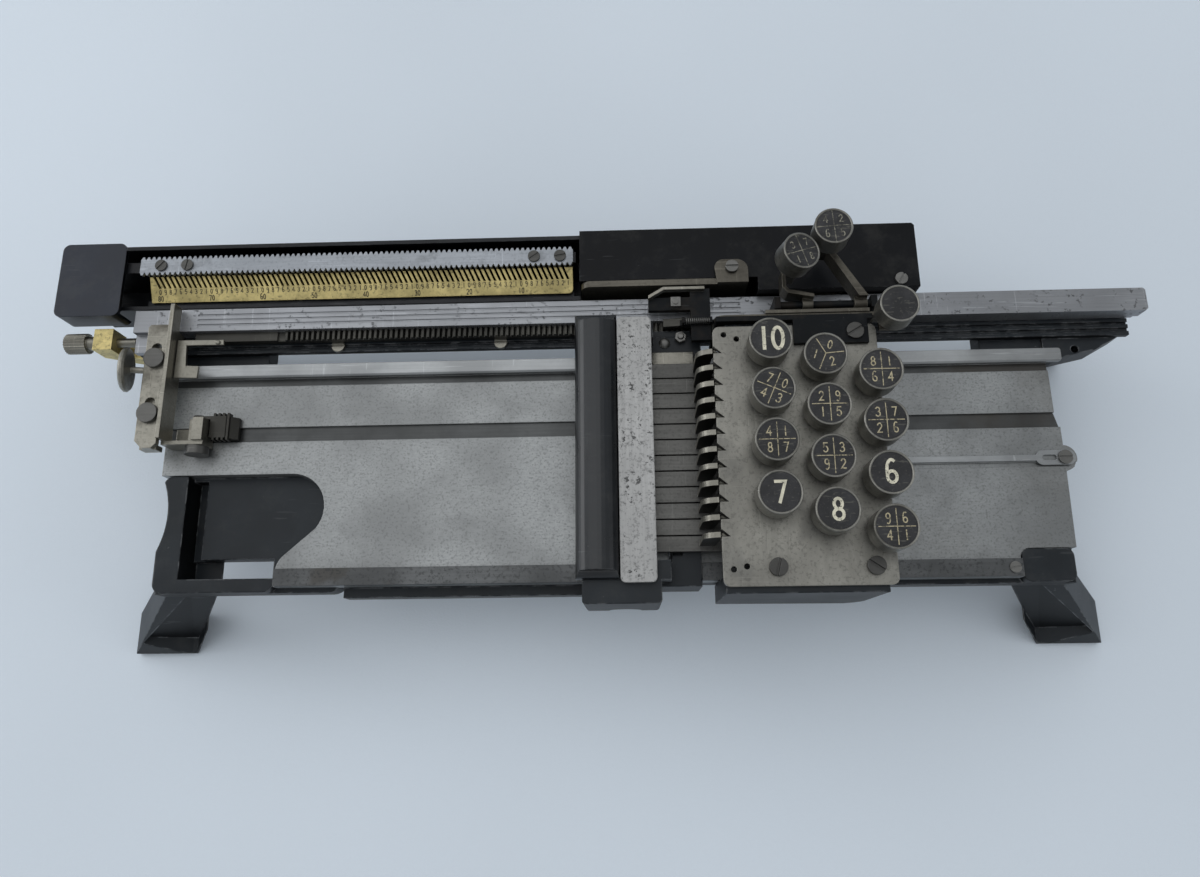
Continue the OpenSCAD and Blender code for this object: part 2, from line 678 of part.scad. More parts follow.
// Frame of the punch head: die below the card, punch guide above it, and pillars that carry the covers
module punch_frame() {
    color("#24282e") difference() {
        union() {
            span(block_x, [-card_w - 1, 1], [cast_low, bed_z]);
            span([block_x[0] + 0.8, block_x[1]], [-card_w - 1, 1], [bed_z + slot_h, bars_z - 0.3]);
            span([block_x[0] - 6, block_x[1]], [block_front, -card_w], [cast_low, bars_z - 0.3]);
            span([pillar_x[0], block_x[1] + 3], [0.5, 12], [track_z + ridge_h, bars_z - 0.3]);
            span([block_x[0] - 6, block_x[1] + 3], [0.5, track_y[0]], [bed_low, bars_z]);
            span(pillar_x, [5.6, 12], [track_z + ridge_h, head_z]);
            slab([cast_low - 2, head_z]) polygon(round_rect(front_pillar_x, [head_front, bed_front - 0.4], 1.5));
            span([front_pillar_x[0], block_x[0]], [bed_front - 1, -card_w - 0.4], [bed_z, head_z]);
            span([front_pillar_x[0] + 1, block_x[0]], [block_front, bed_front + 1], [cast_low, bed_low]);
        }
        for (k = [0:rows - 1]) translate([0, row_y(k), 0]) {
            cube([punch_w + 0.08, punch_l + 0.08, 2 * (bars_z + 9)], center = true);
        }
        span([-trough_w / 2, trough_w / 2], [row_y(rows - 1) - 4, row_y(0) + 4], [trough_z, bars_z + 1]);
        translate([-20.5, head_front - 1, cast_low - 2]) rotate([-90, 0, 0]) cylinder(h = 20, r = 6.5);
        span([-50, pillar_x[1] + 20], [bar_front - 6, 40], [bed_z - 20, track_z + ridge_h]);
    }
}

// Half-round cover with rounded ends
module punch_cover() {
    r = roll_w / 2;
    cx = roll_x0 + r;
    section = concat([[roll_x0, head_z], [roll_x1, head_z]],
        [for (i = [0:16]) [cx + r * cos(11.25 * i), head_z + 1.2 + (roll_h - 1.2) * sin(11.25 * i)]]);
    color("#1d2226") difference() {
        side_slab([roll_front, roll_rear]) polygon(section);
        for (p = [[roll_front, 1], [roll_rear, -1]])
            translate([cx, p[0], head_z]) difference() {
                translate([-r - 1, p[1] > 0 ? -1 : -3, 1.5]) cube([2 * r + 2, 4, roll_h + 2]);
                translate([0, p[1] * 3, 1.5]) rotate([0, 90, 0]) cylinder(h = 4 * r, r = 3 + tiny, center = true);
                translate([-r - 1, -2, -1]) cube([2 * r + 2, 4, tiny]);
            }
    }
}

module cover_plate() {
    color("#b6b6b4") slab([head_z, head_z + 3.2])
        polygon(round_rect([roll_x1, steel_x1], [roll_front - 1.4, roll_rear - 1.2], 2));
}

// Twelve punches with wide heads, one under each interposer bar
module punches() {
    color("#8f9192") for (k = [0:rows - 1]) translate([0, row_y(k), 0]) {
        span([-punch_w / 2, punch_w / 2], [-punch_l / 2, punch_l / 2], [bed_z + 0.5, punch_top]);
        span([-1.4, 1.4], [-2.4, 2.4], [punch_top - punch_head_h, punch_top]);
    }
}

// ---- Keyboard ----

module keyboard_base() {
    wall_front = [base_front, base_front + base_wall];
    color("#1f2327") difference() {
        union() {
            side_slab(wall_front) polygon(concat(
                [[base_x[0], cast_low - 1], [base_x[0], plate_low], [base_x[1], plate_low]],
                [[base_x[1], bed_low - 2]],
                arc([base_x[1] - 16, bed_low - 2], 16, 0, -50, 8)));
            span([base_x[0] + 4, base_x[1]], base_rear_y, [guide_z, plate_low]);
            span([key_x0 - 8, base_x[1]], [wall_front[1] - tiny, base_rear_y[0] + tiny],
                [guide_web_z, guide_web_z + guide_web_t]);
            for (p = plate_screws) translate([p[0], p[1], guide_web_z]) cylinder(h = plate_low - guide_web_z, r = 3);
        }
        for (k = [0:rows - 1]) translate([key_x(k), row_y(k), guide_web_z - 1])
            cylinder(h = guide_web_t + 2, d = stem_d + 2 * run_fit);
        for (p = plate_screws) translate([p[0], p[1], plate_low - 8]) cylinder(h = 9, r = 1.7);
    }
}
plate_screws = [[plate_x + 19.5, plate_y0 + 6.7], [plate_x + 53.9, plate_y0 + 6.7], [plate_x + 53.3, 0]];

module keyboard_plate() {
    color("#8b8a86") slab([plate_low, plate_top]) difference() {
        polygon(round_rect([plate_x, plate_x + plate_l], [plate_y0, plate_y1], 2.6));
        for (k = [0:rows - 1]) {
            translate([plate_x, row_y(k) - notch_front]) polygon([[-1, 0], [notch_d, 0],
                [-1, notch_w * (1 + 1 / notch_d)]]);
            translate([key_x(k), row_y(k)]) circle(d = stem_d + 2 * run_fit);
        }
        for (p = plate_screws) translate(p) circle(r = 1.7);
        for (p = [[4.2, 0.4], [9, -1.4], [3.8, plate_y0 + 6.1], [8.5, plate_y0 + 7.1]])
            translate([plate_x + p[0], p[1]]) circle(r = 1.1);
    }
}

// A key: nickel cup with a black insert in its top, on a stem that ends in a wedge
module key_cap(d, h) {
    insert_d = d - 1.6;
    color("#b9b5ab") difference() {
        union() {
            cylinder(h = h, d = d);
            translate([0, 0, -tiny]) cylinder(h = 1, d = d - 1.2);
        }
        translate([0, 0, h - insert_h]) cylinder(h = insert_h + 1, d = insert_d + 0.04);
    }
    color("#24262a") translate([0, 0, h - insert_h]) cylinder(h = insert_h - 0.1, d = insert_d);
}

module key(k) {
    translate([key_x(k), row_y(k), 0]) {
        translate([0, 0, key_low]) key_cap(key_d, key_h);
        color("#9b9a96") difference() {
            translate([0, 0, stem_low]) cylinder(h = key_low - stem_low + tiny, d = stem_d);
            side_slab([-9, 9]) polygon([[-9, stem_low - 9], [-9, stem_low + (stem_flat / 2 + 9) * wedge_rise],
                [stem_flat / 2, stem_low], [stem_flat / 2, stem_low - 9]]);
        }
    }
}

// An interposer: a flat bar over its punch, a fin by the plate's notch and a ramp under its key
module interposer(k) {
    x_key = key_x(k);
    gap = 0.15;
    ramp_top = x_key + stem_flat / 2 - gap - (bars_top - stem_low) / wedge_rise;
    ramp_end = x_key + stem_flat / 2 - gap + (stem_low - ramp_z) / wedge_rise;
    fin = [plate_x - 6.4, plate_x + notch_d - 1];
    fin_top = plate_top + 0.6;
    translate([0, row_y(k), 0]) {
        color("#77797a") side_slab([-interposer_w / 2, interposer_w / 2]) polygon([
            [steel_x1 - 2, bars_z], [steel_x1 - 2, bars_top], [ramp_top, bars_top], [ramp_end, ramp_z],
            [x_key - 5, ramp_z], [x_key - 8, bars_z]]);
        color("#14161a") intersection() {
            side_slab([-1, 1]) polygon(concat([[fin[0], bars_top - tiny]],
                [[fin[0], fin_top - 6]], arc([fin[0] + 6, fin_top - 6], 6, 180, 90, 8),
                [[fin[1] - 2, fin_top - 0.6], [fin[1], fin_top - 1.6], [fin[1], plate_low - 0.6],
                [fin[0] + 6.4, plate_low - 5], [fin[0] + 5.2, bars_top - tiny]]));
            slab([0, fin_top + 1]) polygon([[fin[0] - 1, -1], [plate_x - slide_gap, -1], [plate_x - slide_gap, slide_gap - notch_front],
                [fin[1], slide_gap - notch_front], [plate_x - slide_gap, 1], [fin[0] - 1, 1]]);
        }
    }
}

// ---- Mechanism behind the keyboard ----

// Coil of round wire along X, as rings of six points: one unbroken tube
function coil_point(t, x, y, z, r, turns) = [x[0] + (x[1] - x[0]) * t, y + r * cos(360 * turns * t),
    z + r * sin(360 * turns * t)];
function coil_rings(x, y, z, r, wire, turns) = let (n = turns * coil_steps)
    [for (i = [0:n]) let (t = i / n, a = 360 * turns * t) [for (j = [0:5]) let (b = 60 * j)
        coil_point(t, x, y, z, r, turns) + [wire * sin(b), wire * cos(b) * cos(a), wire * cos(b) * sin(a)]]];
// Least distance between points of rings that are half a turn or more apart
function coil_gap(ring) = min([for (i = [0:len(ring) - 1], j = [i + coil_steps / 2:1:min(len(ring) - 1,
    i + coil_steps * 3 / 2)], p = ring[i], q = ring[j]) norm(p - q)]);
dog_coil = coil_rings(dog_coil_x, dog_coil_y, dog_coil_z, dog_coil_r, dog_coil_wire, dog_coil_turns);
echo(dog_coil_gap = coil_gap(dog_coil));
module coil(ring) {
    n = len(ring) - 1;
    points = [for (s = ring, p = s) p];
    sides = [for (i = [0:n - 1], j = [0:5]) let (a = i * 6 + j, b = i * 6 + (j + 1) % 6)
        each [[a, b, b + 6], [a, b + 6, a + 6]]];
    polyhedron(points, concat(sides, [[5, 4, 3, 2, 1, 0]], [[for (j = [0:5]) n * 6 + j]]));
}

module mechanism_bracket() {
    color("#1b1e22") {
        difference() {
            union() {
                span(wall_x, wall_y, [bed_z + 0.4, plate_top + 1.8]);
                span([wall_x[1] - tiny, ear_x[1] + ear_t], wall_y, [bed_z + 0.4, bed_z + 14.4]);
                span([45, 73], [-4.4, wall_y[1]], [plate_top, plate_top + 1.8]);
                for (x = ear_x) {
                    span([x, x + ear_t], [wall_y[1] - tiny, rod_y + 2.6], [bed_z + 11, bed_z + 14.4]);
                    span([x, x + ear_t], [rod_y - 2.2, rod_y + 2.6], [bed_z + 11, rod_z + 2.6]);
                }
                rod_y(space_pivot[0], [wall_y[1] - 1, space_y + space_t + 0.8], space_pivot[1], rod_r);
                rod_x([ear_x[0] + 1, ear_x[1] + 1], rod_y, rod_z, rod_r);
                span([8, wall_x[0] + tiny], [wall_y[0], 27.6], [deck_z, deck_z + deck_t]);
                span([3.6, 8 + tiny], [dog_coil_y - 1.2, dog_coil_y + 1.2], [deck_z + 1, deck_z + deck_t]);
                for (x = dog_coil_x) span([x - 0.6, x + 0.6], [dog_coil_y - 1.2, dog_coil_y + 1.2],
                    [deck_z + deck_t - tiny, dog_coil_z + 1.4]);
                span([-9, 8 + tiny], [18.4, 24], [deck_z, deck_z + deck_t]);
                span([8, 15], [dog_y[0] - 2.4, dog_y[0] - 0.4], [dog_pivot[1] - 2.2, deck_z + 1]);
                rod_y(dog_pivot[0], [dog_y[0] - 1, dog_y[1] + 0.4], dog_pivot[1], rod_r);
            }
            translate([plate_screws[2][0], plate_screws[2][1], plate_top - 1]) cylinder(h = 4, r = 1.7);
            translate([2, 21.2, deck_z - 1]) cylinder(h = 5, r = 1.5);
        }
    }
    color("#a19b8c") slab([deck_z + deck_t - tiny, deck_z + deck_t + 2.6]) polygon([[-9, 22.6], [-2.6, 26.4],
        [13.8, 26.4], [13.8, 27.6], [-3, 27.6], [-9, 24]]);
    color("#8d8d88") translate([2, 21.2, deck_z + deck_t - tiny])
        translate([-2, -2, 0]) cube([4, 4, 2.4]);
    color("#6f7073") coil(dog_coil);
}

module space_lever() {
    color("#6d6a62") {
        difference() {
            union() {
                side_slab([space_y, space_y + space_t]) polygon(concat(
                    arc([space_pivot[0], space_pivot[1]], 3.6, 90, 270, 8),
                    [[space_key[0] + 3, space_z[0]], [space_key[0] + 3, space_z[1]]]));
                side_slab([space_y + space_t - tiny, space_y + 2 * space_t]) polygon([[36, space_z[0] + 3],
                    [36, space_z[1] + 0.6], [76, space_z[1] + 0.6], [76, space_z[0] + 3]]);
                span([space_key[0] - 3, space_key[0] + 3], [space_key[1] - 3, space_y + space_t],
                    [space_z[1] - 1.4, space_z[1]]);
            }
            rod_y(space_pivot[0], [0, 40], space_pivot[1], rod_r + run_fit);
        }
        translate([space_key[0], space_key[1], space_z[1] - tiny]) cylinder(h = rear_key_low - space_z[1] + 2 * tiny, r = 2.2);
    }
    translate([space_key[0], space_key[1], rear_key_low]) key_cap(rear_key_d, key_h);
}

// A rear key's lever: a hub on the cross rod, a strip on edge and a stalk to the cap
module rear_lever(path, hub_x, key, tilt) {
    z = [rod_z - 2.4, rod_z + 5.6];
    color("#77736a") {
        difference() {
            union() {
                rod_x(hub_x, rod_y, rod_z, rod_r + 1.5);
                slab(z) polygon(path);
            }
            rod_x([0, 99], rod_y, rod_z, rod_r + run_fit);
        }
        translate([key[0], key[1], z[1] - 3]) rotate([0, tilt, 0])
            cylinder(h = rear_key_low + 1 - z[1] + 3, r = 2.2);
    }
    translate([key[0], key[1], rear_key_low]) rotate([0, tilt, 0]) key_cap(rear_key_d, key_h);
}

module release_lever() {
    x = release_key[0];
    y = release_key[1];
    rear_lever([[x - 2.9, y], [x - 2.9, 21], [x - 0.9, 18.6], [55, 16.6], [55, 18], [x - 0.3, 20], [x - 1.5, 21.4],
        [x - 1.5, y - 2.6], [x + 2.4, y - 2.6], [x + 2.4, y + 1], [x - 2, y + 1]], [51, 55], release_key, release_tilt);
}

module back_lever() {
    x = back_key[0];
    y = back_key[1];
    rear_lever([[72.4, 16.8], [75.8, 16.8], [x + 3, y - 1.2], [x + 3, y + 2], [x - 3, y + 2], [x - 3, y - 2],
        [x + 1, y - 2.2]], [71, 76], back_key, 0);
}

// Small rocker whose nose stands over the escapement rack
module escapement_dog() {
    color("#3a3c40") difference() {
        side_slab(dog_y) polygon(concat([[-3, rack_top + 0.4], [0, rack_top + 0.4], [1.4, dog_pivot[1] - 1.6],
            [dog_pivot[0], dog_pivot[1] - 1.9 - 0.7]], arc(dog_pivot, 2.6, 270, 380, 8), [[4, dog_pivot[1] + 1.5],
            [-3, dog_pivot[1] + 0.6]]));
        rod_y(dog_pivot[0], [0, 40], dog_pivot[1], rod_r + run_fit);
    }
}
rack_top = bar_top - 2;

module skip_lever() {
    z = [channel_z0 + 9.5, channel_z1 + 0.8];
    r = 4;
    color("#8a7f70") difference() {
        union() {
            side_slab([skip_y0, skip_y0 + skip_t]) polygon(concat([[cover_x0 + 0.6, z[0]], [32, z[0]]],
                [[32, z[1]]], arc([cover_x0 + 0.6 + r, z[1] - r], r, 90, 180, 8)));
            slab([channel_z1 + 0.5 + 0.05, channel_z1 + 2.4]) polygon(concat([[32, skip_y0]],
                arc([32 - 4.6, skip_pivot[1] - 1], 4.6, 0, 90, 6), arc([skip_pivot[0] - 3.4, skip_pivot[1]], 3.6, 90, 200, 6),
                [[skip_pivot[0] - 6, skip_y0]]));
        }
        translate([skip_pivot[0], skip_pivot[1], channel_z0]) cylinder(h = 40, r = 1.5 + run_fit);
    }
}

// ---- Carriage ----

module carriage_bar() {
    x1 = bar_x0 + bar_l;
    half = col_pitch / 4;
    slope = tan(20);
    pitch_y = bar_rear - rack_add;
    first = ceil((drum_x - travel - 16 - drum_x) / col_pitch);
    last = floor(14 / col_pitch);
    teeth = [for (i = [first:last], p = [[-half - rack_ded * slope, -rack_ded], [-half + rack_add * slope, rack_add],
        [half - rack_add * slope, rack_add], [half + rack_ded * slope, -rack_ded]])
        [drum_x + (i + 0.5) * col_pitch + p[0], pitch_y + p[1]]];
    body = concat([[bar_x0, bar_front], [bar_x0, bar_rear], [teeth[0][0] - 2, bar_rear]],
        teeth, [[teeth[len(teeth) - 1][0] + 2, bar_rear], [x1, bar_rear], [x1, bar_front]]);
    color("#9c9d9c") difference() {
        union() {
            slab([bar_low, bar_top - 2]) polygon(body);
            slab([bar_top - 2 - tiny, bar_top]) polygon([[bar_x0, bar_front], [bar_x0, bar_rear], [x1 - 0.9, bar_rear],
                [x1, bar_rear - 0.9], [x1, bar_front + 0.9], [x1 - 0.9, bar_front]]);
            span([bar_x0, x1 - 60], [tongue_y, tongue_y + tongue_w], [bar_low - ridge_h - tongue_d, bar_low + 1]);
            span([foot_x0, bar_x0 + tiny], [foot_front_y, bar_front + tiny], [rack_low, foot_top]);
            span([foot_rear_x, bar_x0 + tiny], [bar_front, bar_rear], [bar_low, bar_top]);
        }
        for (y = [2.4, 4.6, 6.8])
            span([bar_x0 + 8, x1 - 2 * (card_margin + travel) / 2.2], [bar_front + y, bar_front + y + 0.7],
                [bar_top - 0.4, bar_top + 1]);
        for (z = [0, 1]) span([x1 - 3, x1 + 1], z == 0 ? [bar_front - 1, bar_front + 0.6] : [bar_rear - 0.6, bar_rear + 1],
            [0, bar_top - 2]);
    }
}

module escapement_rack() {
    x0 = bar_x0 + 6.6;
    x1 = 19;
    first = ceil((x0 + 37) / col_pitch);
    last = floor((x1 - 2) / col_pitch);
    teeth = [for (i = [last:-1:first], p = [[0.9, 0], [0.62, 1], [0.2, 1], [0.12, 0]])
        [(i + p[0]) * col_pitch, rack_top - 1.5 + 1.5 * p[1]]];
    color("#6c6e70") side_slab([bar_front - rack_w, bar_front]) polygon(concat(
        [[x0, rack_low], [x1, rack_low], [x1, rack_top - 1.5]], teeth, [[x0 + 35, rack_top - 1.5], [x0 + 35, rack_top - 0.4],
        [x0, rack_top - 0.4]]));
}

module pusher_arm() {
    color("#b7b1a3") difference() {
        union() {
            slab([arm_z, arm_z + arm_t]) polygon(concat([[arm_x0, arm_y1 - 1], [arm_x0 + 1, arm_y1], [arm_x1, arm_y1]],
                [[arm_x1, arm_y0 + 2], [arm_x1 - 2, arm_y0], [arm_x0 + 3, arm_y0], [arm_x0, arm_y0 + 3]]));
            span([arm_x0 + 1, arm_x1 - 1], [arm_y0, arm_y0 + 2], [arm_z - 5, arm_z + tiny]);
            span([arm_x0, arm_x1], [foot_front_y, bar_front], [foot_top, arm_z + tiny]);
        }
        for (y = arm_screw_y) slab([0, 2 * arm_z]) polygon(round_rect(
            [arm_hole_x - arm_slot_r, arm_hole_x + arm_slot_r], [y - arm_slot_r, y + arm_slot_l], arm_slot_r - tiny));
        disc_bore();
    }
}

// Shoulder screws of the pusher arm and the pivot screw of the gripper jaw
module carriage_screws() {
    pin_l = grip_y[1] + slide_gap + jaw_ear_t + slide_gap - hook_y + blade_t;
    color("#4a4844") {
        for (y = arm_screw_y) translate([arm_hole_x, y, arm_z + arm_t]) {
            cylinder(h = 2, r = arm_head_r);
            translate([0, 0, -arm_t - flange_t]) cylinder(h = arm_t + flange_t + tiny, r = 1.5);
        }
        translate([jaw_pin[0], hook_y - blade_t, jaw_pin[1]]) rotate([90, 0, 0]) {
            cylinder(h = 3.4, r = 4.6);
            translate([0, 0, -pin_l]) cylinder(h = pin_l + tiny, r = 1.5);
        }
    }
}

// Upright blade beside the arm: pointer at the rear, hook and clamp block at the front
module card_blade() {
    color("#a8a59c") difference() {
        union() {
            span(blade_x, [hook_y, arm_y1 - 2], [blade_low, blade_top]);
            span(blade_x, [arm_y1 - 4, pointer_y], [bar_top + 1.4, blade_top]);
            span([arm_x0 + 1, blade_x[1]], [arm_screw_y[1] - 6, foot_front_y - slide_gap], [arm_z - flange_t, arm_z]);
            span([blade_x[0], grip_block_x[1]], [hook_y - blade_t, hook_y + tiny], [bed_z + 0.5, bed_z + 9.6]);
            span(grip_block_x, [hook_y - tiny, grip_y[1]], [bed_z + 0.5, grip_top]);
            span([jaw_pin[0] - 2.8, grip_block_x[1]], [hook_y - tiny, grip_y[1]], [bed_z + 0.5, jaw_pin[1] + 2.8]);
            span([blade_x[1], grip_block_x[1]], [groove_y[0] + 0.6, groove_y[1] - 0.6],
                [bed_z - groove_d + 0.2, bed_z + 1]);
            span(disc_boss_x, [disc_y - 3.2, disc_y + 3.2], [arm_z - flange_t - 1.8, arm_z - flange_t + tiny]);
        }
        disc_bore();
        for (y = arm_screw_y) translate([arm_hole_x, y, 0]) cylinder(h = 2 * arm_z, r = 1.5 + 0.02);
        rod_y(jaw_pin[0], [-60, 0], jaw_pin[1], 1.5 + 0.02);
    }
}

// Toothed jaw that presses the card's left edge down, on an ear around the pivot screw
module gripper_jaw() {
    teeth = 5;
    x0 = grip_block_x[1] + 0.5;
    y = [grip_y[0] + 0.8, grip_y[1] + slide_gap + jaw_ear_t];
    ear_y = [grip_y[1] + slide_gap, y[1]];
    low = bed_z + 0.6;
    color("#2c2b29") difference() {
        union() {
            side_slab(y) polygon(concat([[x0, low]], [for (i = [0:teeth - 1], p = [[0.2, 0.3], [0.6, 0]])
                [x0 + 2 + (jaw_x1 - x0 - 2) * (i + p[0]) / teeth, low - p[1]]],
                [[jaw_x1, low], [jaw_x1, bed_z + 2], [jaw_x1 - 4, jaw_top], [x0, jaw_top]]));
            for (i = [0:3]) span([x0 + 1.2 + 1.9 * i, x0 + 2.1 + 1.9 * i], [y[0] - 1, y[1] + 1.2], [bed_z + 2.6, jaw_top]);
            side_slab(ear_y) polygon(concat(arc(jaw_pin, 2.6, 90, 270, 8), [[x0 + 1, jaw_pin[1] - 2.6], [x0 + 1, jaw_top],
                [jaw_pin[0] + 2, jaw_top]]));
        }
        rod_y(jaw_pin[0], [-60, 0], jaw_pin[1], 1.5 + run_fit);
    }
}

// Line of the disc's plunger: it dips to the right, under the arm
module disc_axis() {
    translate([disc_x, disc_y, disc_z]) rotate([0, 90 + disc_tilt, 0]) children();
}

// Bore that the plunger slides in, past its end by the disc's travel
module disc_bore() {
    disc_axis() translate([0, 0, disc_t]) cylinder(h = disc_shaft_l - disc_t + disc_travel + 0.5, r = disc_shaft_d / 2 + run_fit);
}

// Thumb disc on a thin plunger in the boss under the arm
module thumb_disc() {
    color("#8a8578") disc_axis() {
        rotate_extrude() polygon([[0, 0], [disc_d / 2 - disc_rim, 0], [disc_d / 2, disc_rim], [disc_d / 2, disc_t - disc_rim],
            [disc_d / 2 - disc_rim, disc_t], [disc_shaft_d / 2, disc_t + 0.6], [disc_shaft_d / 2, disc_shaft_l], [0, disc_shaft_l]]);
    }
}

// ---- End stop ----

module end_stop_block() {
    color("#b08d4f") difference() {
        union() {
            span(stop_block_x, [stop_y - 4.6, stop_y + 4.6], [stop_z - 5, stop_z + 5]);
            side_slab([stop_y - 4.6, stop_y + 3]) polygon([[stop_block_x[0], stop_z - 4.9], [stop_block_x[1] - 1, stop_z - 4.9],
                [track_x[0], track_z - 2], [track_x[0], track_low + 4], [track_x[0] - 4, track_low + 4]]);
        }
        rod_x([stop_block_x[0] - 1, stop_block_x[1] + 1], stop_y, stop_z, stop_r + run_fit);
    }
}

module end_stop_screw() {
    knurls = 24;
    color("#b5b2a8") {
        rod_x([stop_block_x[0] - 5, stop_tip], stop_y, stop_z, stop_r);
        rod_x([stop_block_x[0] - 4.6, stop_block_x[0] - slide_gap], stop_y, stop_z, stop_r + 1.1);
        translate([stop_block_x[0] - 13.6, stop_y, stop_z]) rotate([0, 90, 0]) linear_extrude(9)
            polygon([for (i = [0:2 * knurls - 1]) let (r = knob_r + (i % 2) * 0.35, a = 180 * i / knurls)
                [r * cos(a), r * sin(a)]]);
    }
}

// ---- Mainspring drum ----

module spring_drum() {
    half = 90 / pinion_teeth;
    tip = pinion_r + rack_add;
    root = pinion_r - rack_ded;
    gear = [for (i = [0:pinion_teeth - 1], p = [[root, -1.45], [pinion_r, -0.9], [tip, -0.42], [tip, 0.42],
        [pinion_r, 0.9], [root, 1.45]]) let (a = 360 * i / pinion_teeth + p[1] * half - 90) [p[0] * cos(a), p[0] * sin(a)]];
    color("#7d7a70") translate([drum_x, drum_y, 0]) difference() {
        union() {
            translate([0, 0, channel_z0 + lip_t + 0.6]) cylinder(h = bar_low - channel_z0 - lip_t - 1.2, r = drum_r);
            translate([0, 0, bar_low - 1]) cylinder(h = bar_h - 3, r = drum_r - 4);
            slab([bar_low + 0.6, bar_top - 2.6]) polygon(gear);
        }
        translate([0, 0, channel_z0]) cylinder(h = 60, r = drum_post_r + run_fit);
    }
}

// ---- Fixed screws ----

module screws() {
    color("#6f6d68") {
        for (i = [0:3]) translate([comb_screw_x[i], comb_screw_y, comb_z + comb_t])
            slotted_screw(5, 0.8, 2.4, comb_t + 5, [50, 80, 35, 10][i]);
        for (i = [0:1]) translate([plate_screws[i][0], plate_screws[i][1], plate_top])
            slotted_screw(6.6, 1.6, 3.3, plate_t + 7, [75, -35][i]);
        translate([plate_screws[2][0], plate_screws[2][1], plate_top + 1.8]) slotted_screw(6.4, 1.4, 3.3, plate_t + 7, 30);
        for (x = track_screw_x) translate([x, track_screw_y, track_z + ridge_h]) slotted_screw(5.4, 1.6, 2.9, track_lip + ridge_h, 0);
        translate([cover_x1 - 7.6, cover_screw_y, channel_z1 + 0.5]) slotted_screw(5, 1.2, 2.9, 4, 60);
        translate([bed_right - 0.6, strip_y, bed_z + 1]) slotted_screw(5.6, 1, 2.9, 5, 0);
        translate([guide_screw_x, -card_w - rail_front_w / 2, guide_z]) slotted_screw(4.4, 0.6, 2.9, guide_h, 10);
        translate([2, 21.2, deck_z + deck_t + 2.4 - tiny]) cylinder(h = 0.4, r = 1.2);
        difference() {
            union() {
                translate([skip_pivot[0], skip_pivot[1], channel_z1 - 4]) cylinder(h = 6.7, r = 1.5);
                translate([skip_pivot[0], skip_pivot[1], channel_z1 + 2.7]) cylinder(h = 1.2, r = 2.6);
            }
            translate([skip_pivot[0] - 5, skip_pivot[1] - 0.4, channel_z1 + 3.3]) cube([10, 0.8, 4]);
        }
    }
}

// ---- What is drawn for each name ----

placed() left_end_casting();
placed() right_end_casting();
placed() front_beam();
placed() rear_track();
placed() rear_channel();
placed() channel_end_cap();
placed() channel_cover();
placed() stop_rack();
placed() column_scale();
placed() bed_plate();
placed() rear_card_guide();
placed() front_card_guide();
placed() card_strip();
placed() punch_frame();
placed() punch_cover();
placed() cover_plate();
placed() keyboard_base();
placed() keyboard_plate();
placed() mechanism_bracket();
placed() end_stop_block();
placed() screws();
placed() end_stop_screw();
placed() carriage_bar();
placed() escapement_rack();
placed() pusher_arm();
placed() carriage_screws();
placed() card_blade();
placed() thumb_disc();
placed() gripper_jaw();
placed() spring_drum();
placed() escapement_dog();
placed() punches();
placed() space_lever();
placed() release_lever();
placed() back_lever();
placed() skip_lever();
for (k = [0:rows - 1]) placed() key(k);
for (k = [0:rows - 1]) placed() interposer(k);
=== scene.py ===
import math

import bmesh
import bpy
from mathutils import Matrix, Vector


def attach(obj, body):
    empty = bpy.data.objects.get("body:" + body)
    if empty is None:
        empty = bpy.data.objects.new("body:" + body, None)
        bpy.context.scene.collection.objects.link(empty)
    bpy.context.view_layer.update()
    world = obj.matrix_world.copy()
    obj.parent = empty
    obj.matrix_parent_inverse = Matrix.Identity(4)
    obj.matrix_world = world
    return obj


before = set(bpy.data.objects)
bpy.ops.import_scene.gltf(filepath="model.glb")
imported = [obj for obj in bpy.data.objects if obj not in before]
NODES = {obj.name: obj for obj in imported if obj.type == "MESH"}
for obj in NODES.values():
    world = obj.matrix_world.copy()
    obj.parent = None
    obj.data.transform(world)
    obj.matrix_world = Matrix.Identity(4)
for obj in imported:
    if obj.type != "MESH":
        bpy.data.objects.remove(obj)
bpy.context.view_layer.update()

bl_info = {
    "name": "Card Punch Looks",
    "version": (1, 0, 0),
    "blender": (4, 5, 0),
    "location": "3D View > Sidebar > Card Punch",
    "description": "Finishes and fine parts of a hand-operated card punch, round its packed CAD frame",
    "category": "Object",
}

MM = 0.001
# From the middle of the machine's box to the corner where the punches meet the card's rear edge
CARD_CORNER = Vector((31.6825, 28.5, 0.0))
ROW_PITCH = 6.35
COLUMN_PITCH = 2.21
ROWS = 12
COLUMNS = 80
FRAME_BODY = "frame"


# ---- Sizes and colours that a user may change ----

def colour_setting(name, description, default):
    return bpy.props.FloatVectorProperty(
        name=name, description=description, default=default, subtype="COLOR", size=3, min=0, max=1)


def length_setting(name, description, default):
    return bpy.props.FloatProperty(
        name=name, description=description, default=default, min=0, unit="LENGTH", precision=5)


def share_setting(name, description, default):
    return bpy.props.FloatProperty(
        name=name, description=description, default=default, min=0, max=1, subtype="FACTOR")


